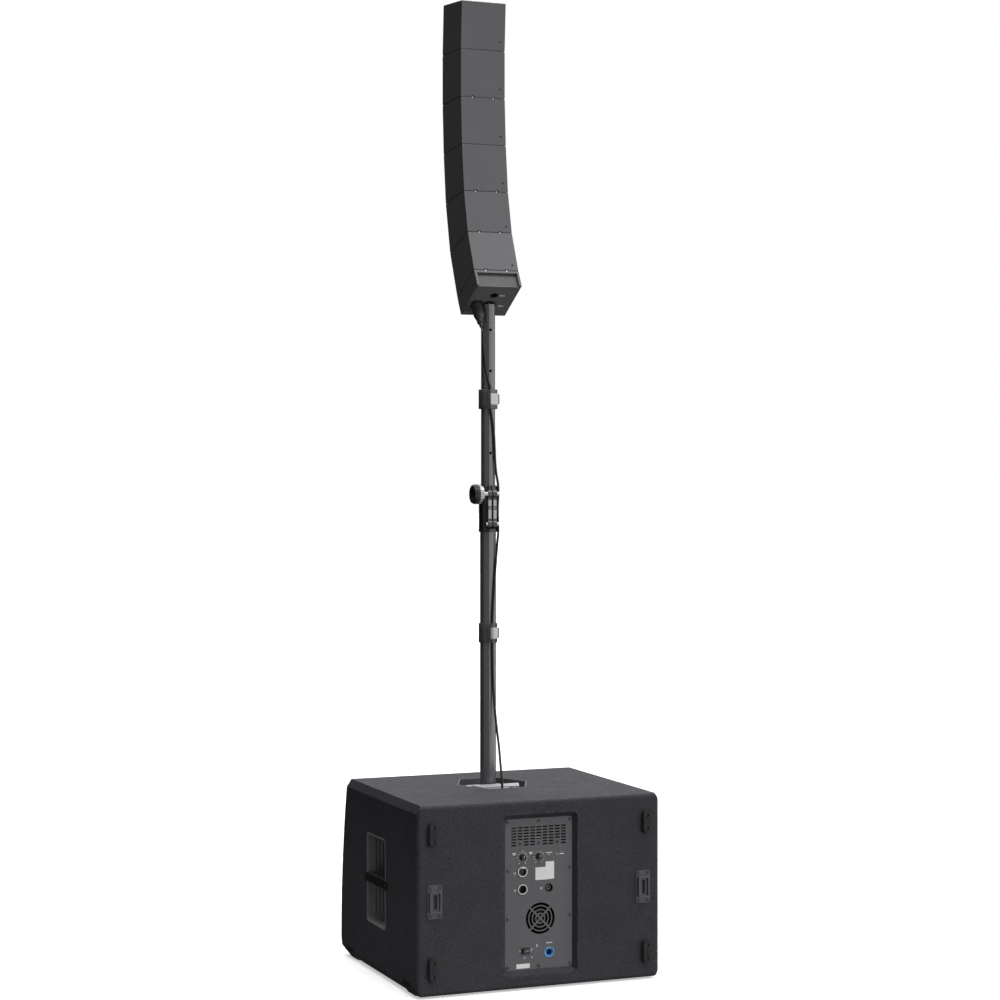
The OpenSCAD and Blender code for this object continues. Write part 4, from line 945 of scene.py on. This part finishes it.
RECESS_FLOOR = 124.0
RECESS_SHADE_THICKNESS = 0.2


def on_recess(u, v, h):
    """A point on the floor of the rear recess, in mm: across, up from the underside, and outward."""
    rearward = (RECESS_FLOOR + h) * MM * REARWARD
    return underside_front + Vector((u * MM, 0, 0)) + rearward + v * MM * INWARD


# A dark sheet on the recess's floor: painted shade in the recess
recess = bmesh.new()
add_plate(recess, box_outline(-52.4, 52.4, 3.4, 36.4, 1.5), on_recess, 0.0, RECESS_SHADE_THICKNESS)
new_piece("adapter_recess_painted_shade", recess, "recess_painted_shade", "mast", smooth=False)

# ---------------------------------------------------------------- floor
# It is pale and takes shadows. It throws no light back: BOUNCE, below, stands in for that.

FLOOR_HALF = 60.0
FLOOR_GLOW = 0.45

floor_mesh = bpy.data.meshes.new("floor")
corners = [(x * FLOOR_HALF, y * FLOOR_HALF, 0) for x, y in ((-1, -1), (1, -1), (1, 1), (-1, 1))]
floor_mesh.from_pydata(corners, [], [(0, 1, 2, 3)])
floor_paint = bpy.data.materials.new("floor_paint")
floor_paint.use_nodes = True
floor_inputs = floor_paint.node_tree.nodes["Principled BSDF"].inputs
floor_inputs["Base Color"].default_value = (0.8, 0.8, 0.81, 1)
floor_inputs["Roughness"].default_value = 0.8
floor_inputs["Emission Color"].default_value = (1, 1, 1, 1)
floor_inputs["Emission Strength"].default_value = FLOOR_GLOW
floor_mesh.materials.append(floor_paint)
floor = bpy.data.objects.new("floor", floor_mesh)
floor.visible_diffuse = False
floor.visible_glossy = False
bpy.context.scene.collection.objects.link(floor)

# ---------------------------------------------------------------- lights
# Soft lights of the sky: aim, cosine where each starts and where it is full, and strength

OVERHEAD = (Vector((-0.1, 0.12, 1.0)), 0.80, 0.95, 3.9)
REAR_KEY = (Vector((-0.755, 0.656, 0.06)), 0.50, 0.64, 1.06)
LEFT_FILL = (Vector((0.8, 0.6, 0.05)), 0.72, 0.90, 0.22)
FRONT_FILL = (Vector((-0.2, -0.58, 0.82)), 0.86, 0.97, 3.6)
BOUNCE = (Vector((0.0, 0.1, -1.0)), 0.2, 0.9, 0.12)
AMBIENT = 0.015
BACKDROP = 1.0


def studio_world():
    """A white backdrop for the camera, and for the object soft lights on a dark sky, by direction."""
    made = bpy.data.worlds.new("studio")
    made.use_nodes = True
    tree = made.node_tree
    tree.nodes.clear()
    direction = node_in(tree, "TexCoord").outputs["Generated"]
    total = AMBIENT
    for aim, start, full, strength in (OVERHEAD, REAR_KEY, LEFT_FILL, FRONT_FILL, BOUNCE):
        vectors = {0: direction, 1: tuple(aim.normalized())}
        facing = node_in(tree, "VectorMath", vectors, operation="DOT_PRODUCT").outputs["Value"]
        ranges = {"Value": facing, "From Min": start, "From Max": full, "To Max": strength}
        glow = node_in(tree, "MapRange", ranges, interpolation_type="SMOOTHSTEP").outputs[0]
        total = maths(tree, "ADD", glow, total)
    lit = node_in(tree, "Background", {"Color": (1, 1, 1, 1), "Strength": total}).outputs[0]
    seen = node_in(tree, "Background", {"Color": (1, 1, 1, 1), "Strength": BACKDROP}).outputs[0]
    camera_ray = node_in(tree, "LightPath").outputs["Is Camera Ray"]
    blend = node_in(tree, "MixShader", {0: camera_ray, 1: lit, 2: seen}).outputs[0]
    node_in(tree, "OutputWorld", {"Surface": blend})
    return made


bpy.context.scene.world = studio_world()
bpy.context.scene.view_settings.view_transform = "Standard"

# A low strip light beside the cabinet, which lifts the foot of its side. It has no reflection.
STRIP_LENGTH, STRIP_HEIGHT = 1.2, 0.2
STRIP_ENERGY = 0.55
STRIP_AT = (0.68, 0.1, 0.12)
STRIP_AIM = Vector((-1.0, 0.0, -0.1))

strip = bpy.data.lights.new("low_side_light", "AREA")
strip.shape = "RECTANGLE"
strip.size = STRIP_LENGTH
strip.size_y = STRIP_HEIGHT
strip.energy = STRIP_ENERGY
side_light = bpy.data.objects.new("low_side_light", strip)
side_light.location = STRIP_AT
side_light.rotation_euler = STRIP_AIM.to_track_quat("-Z", "Y").to_euler()
side_light.visible_camera = False
side_light.visible_glossy = False
bpy.context.scene.collection.objects.link(side_light)
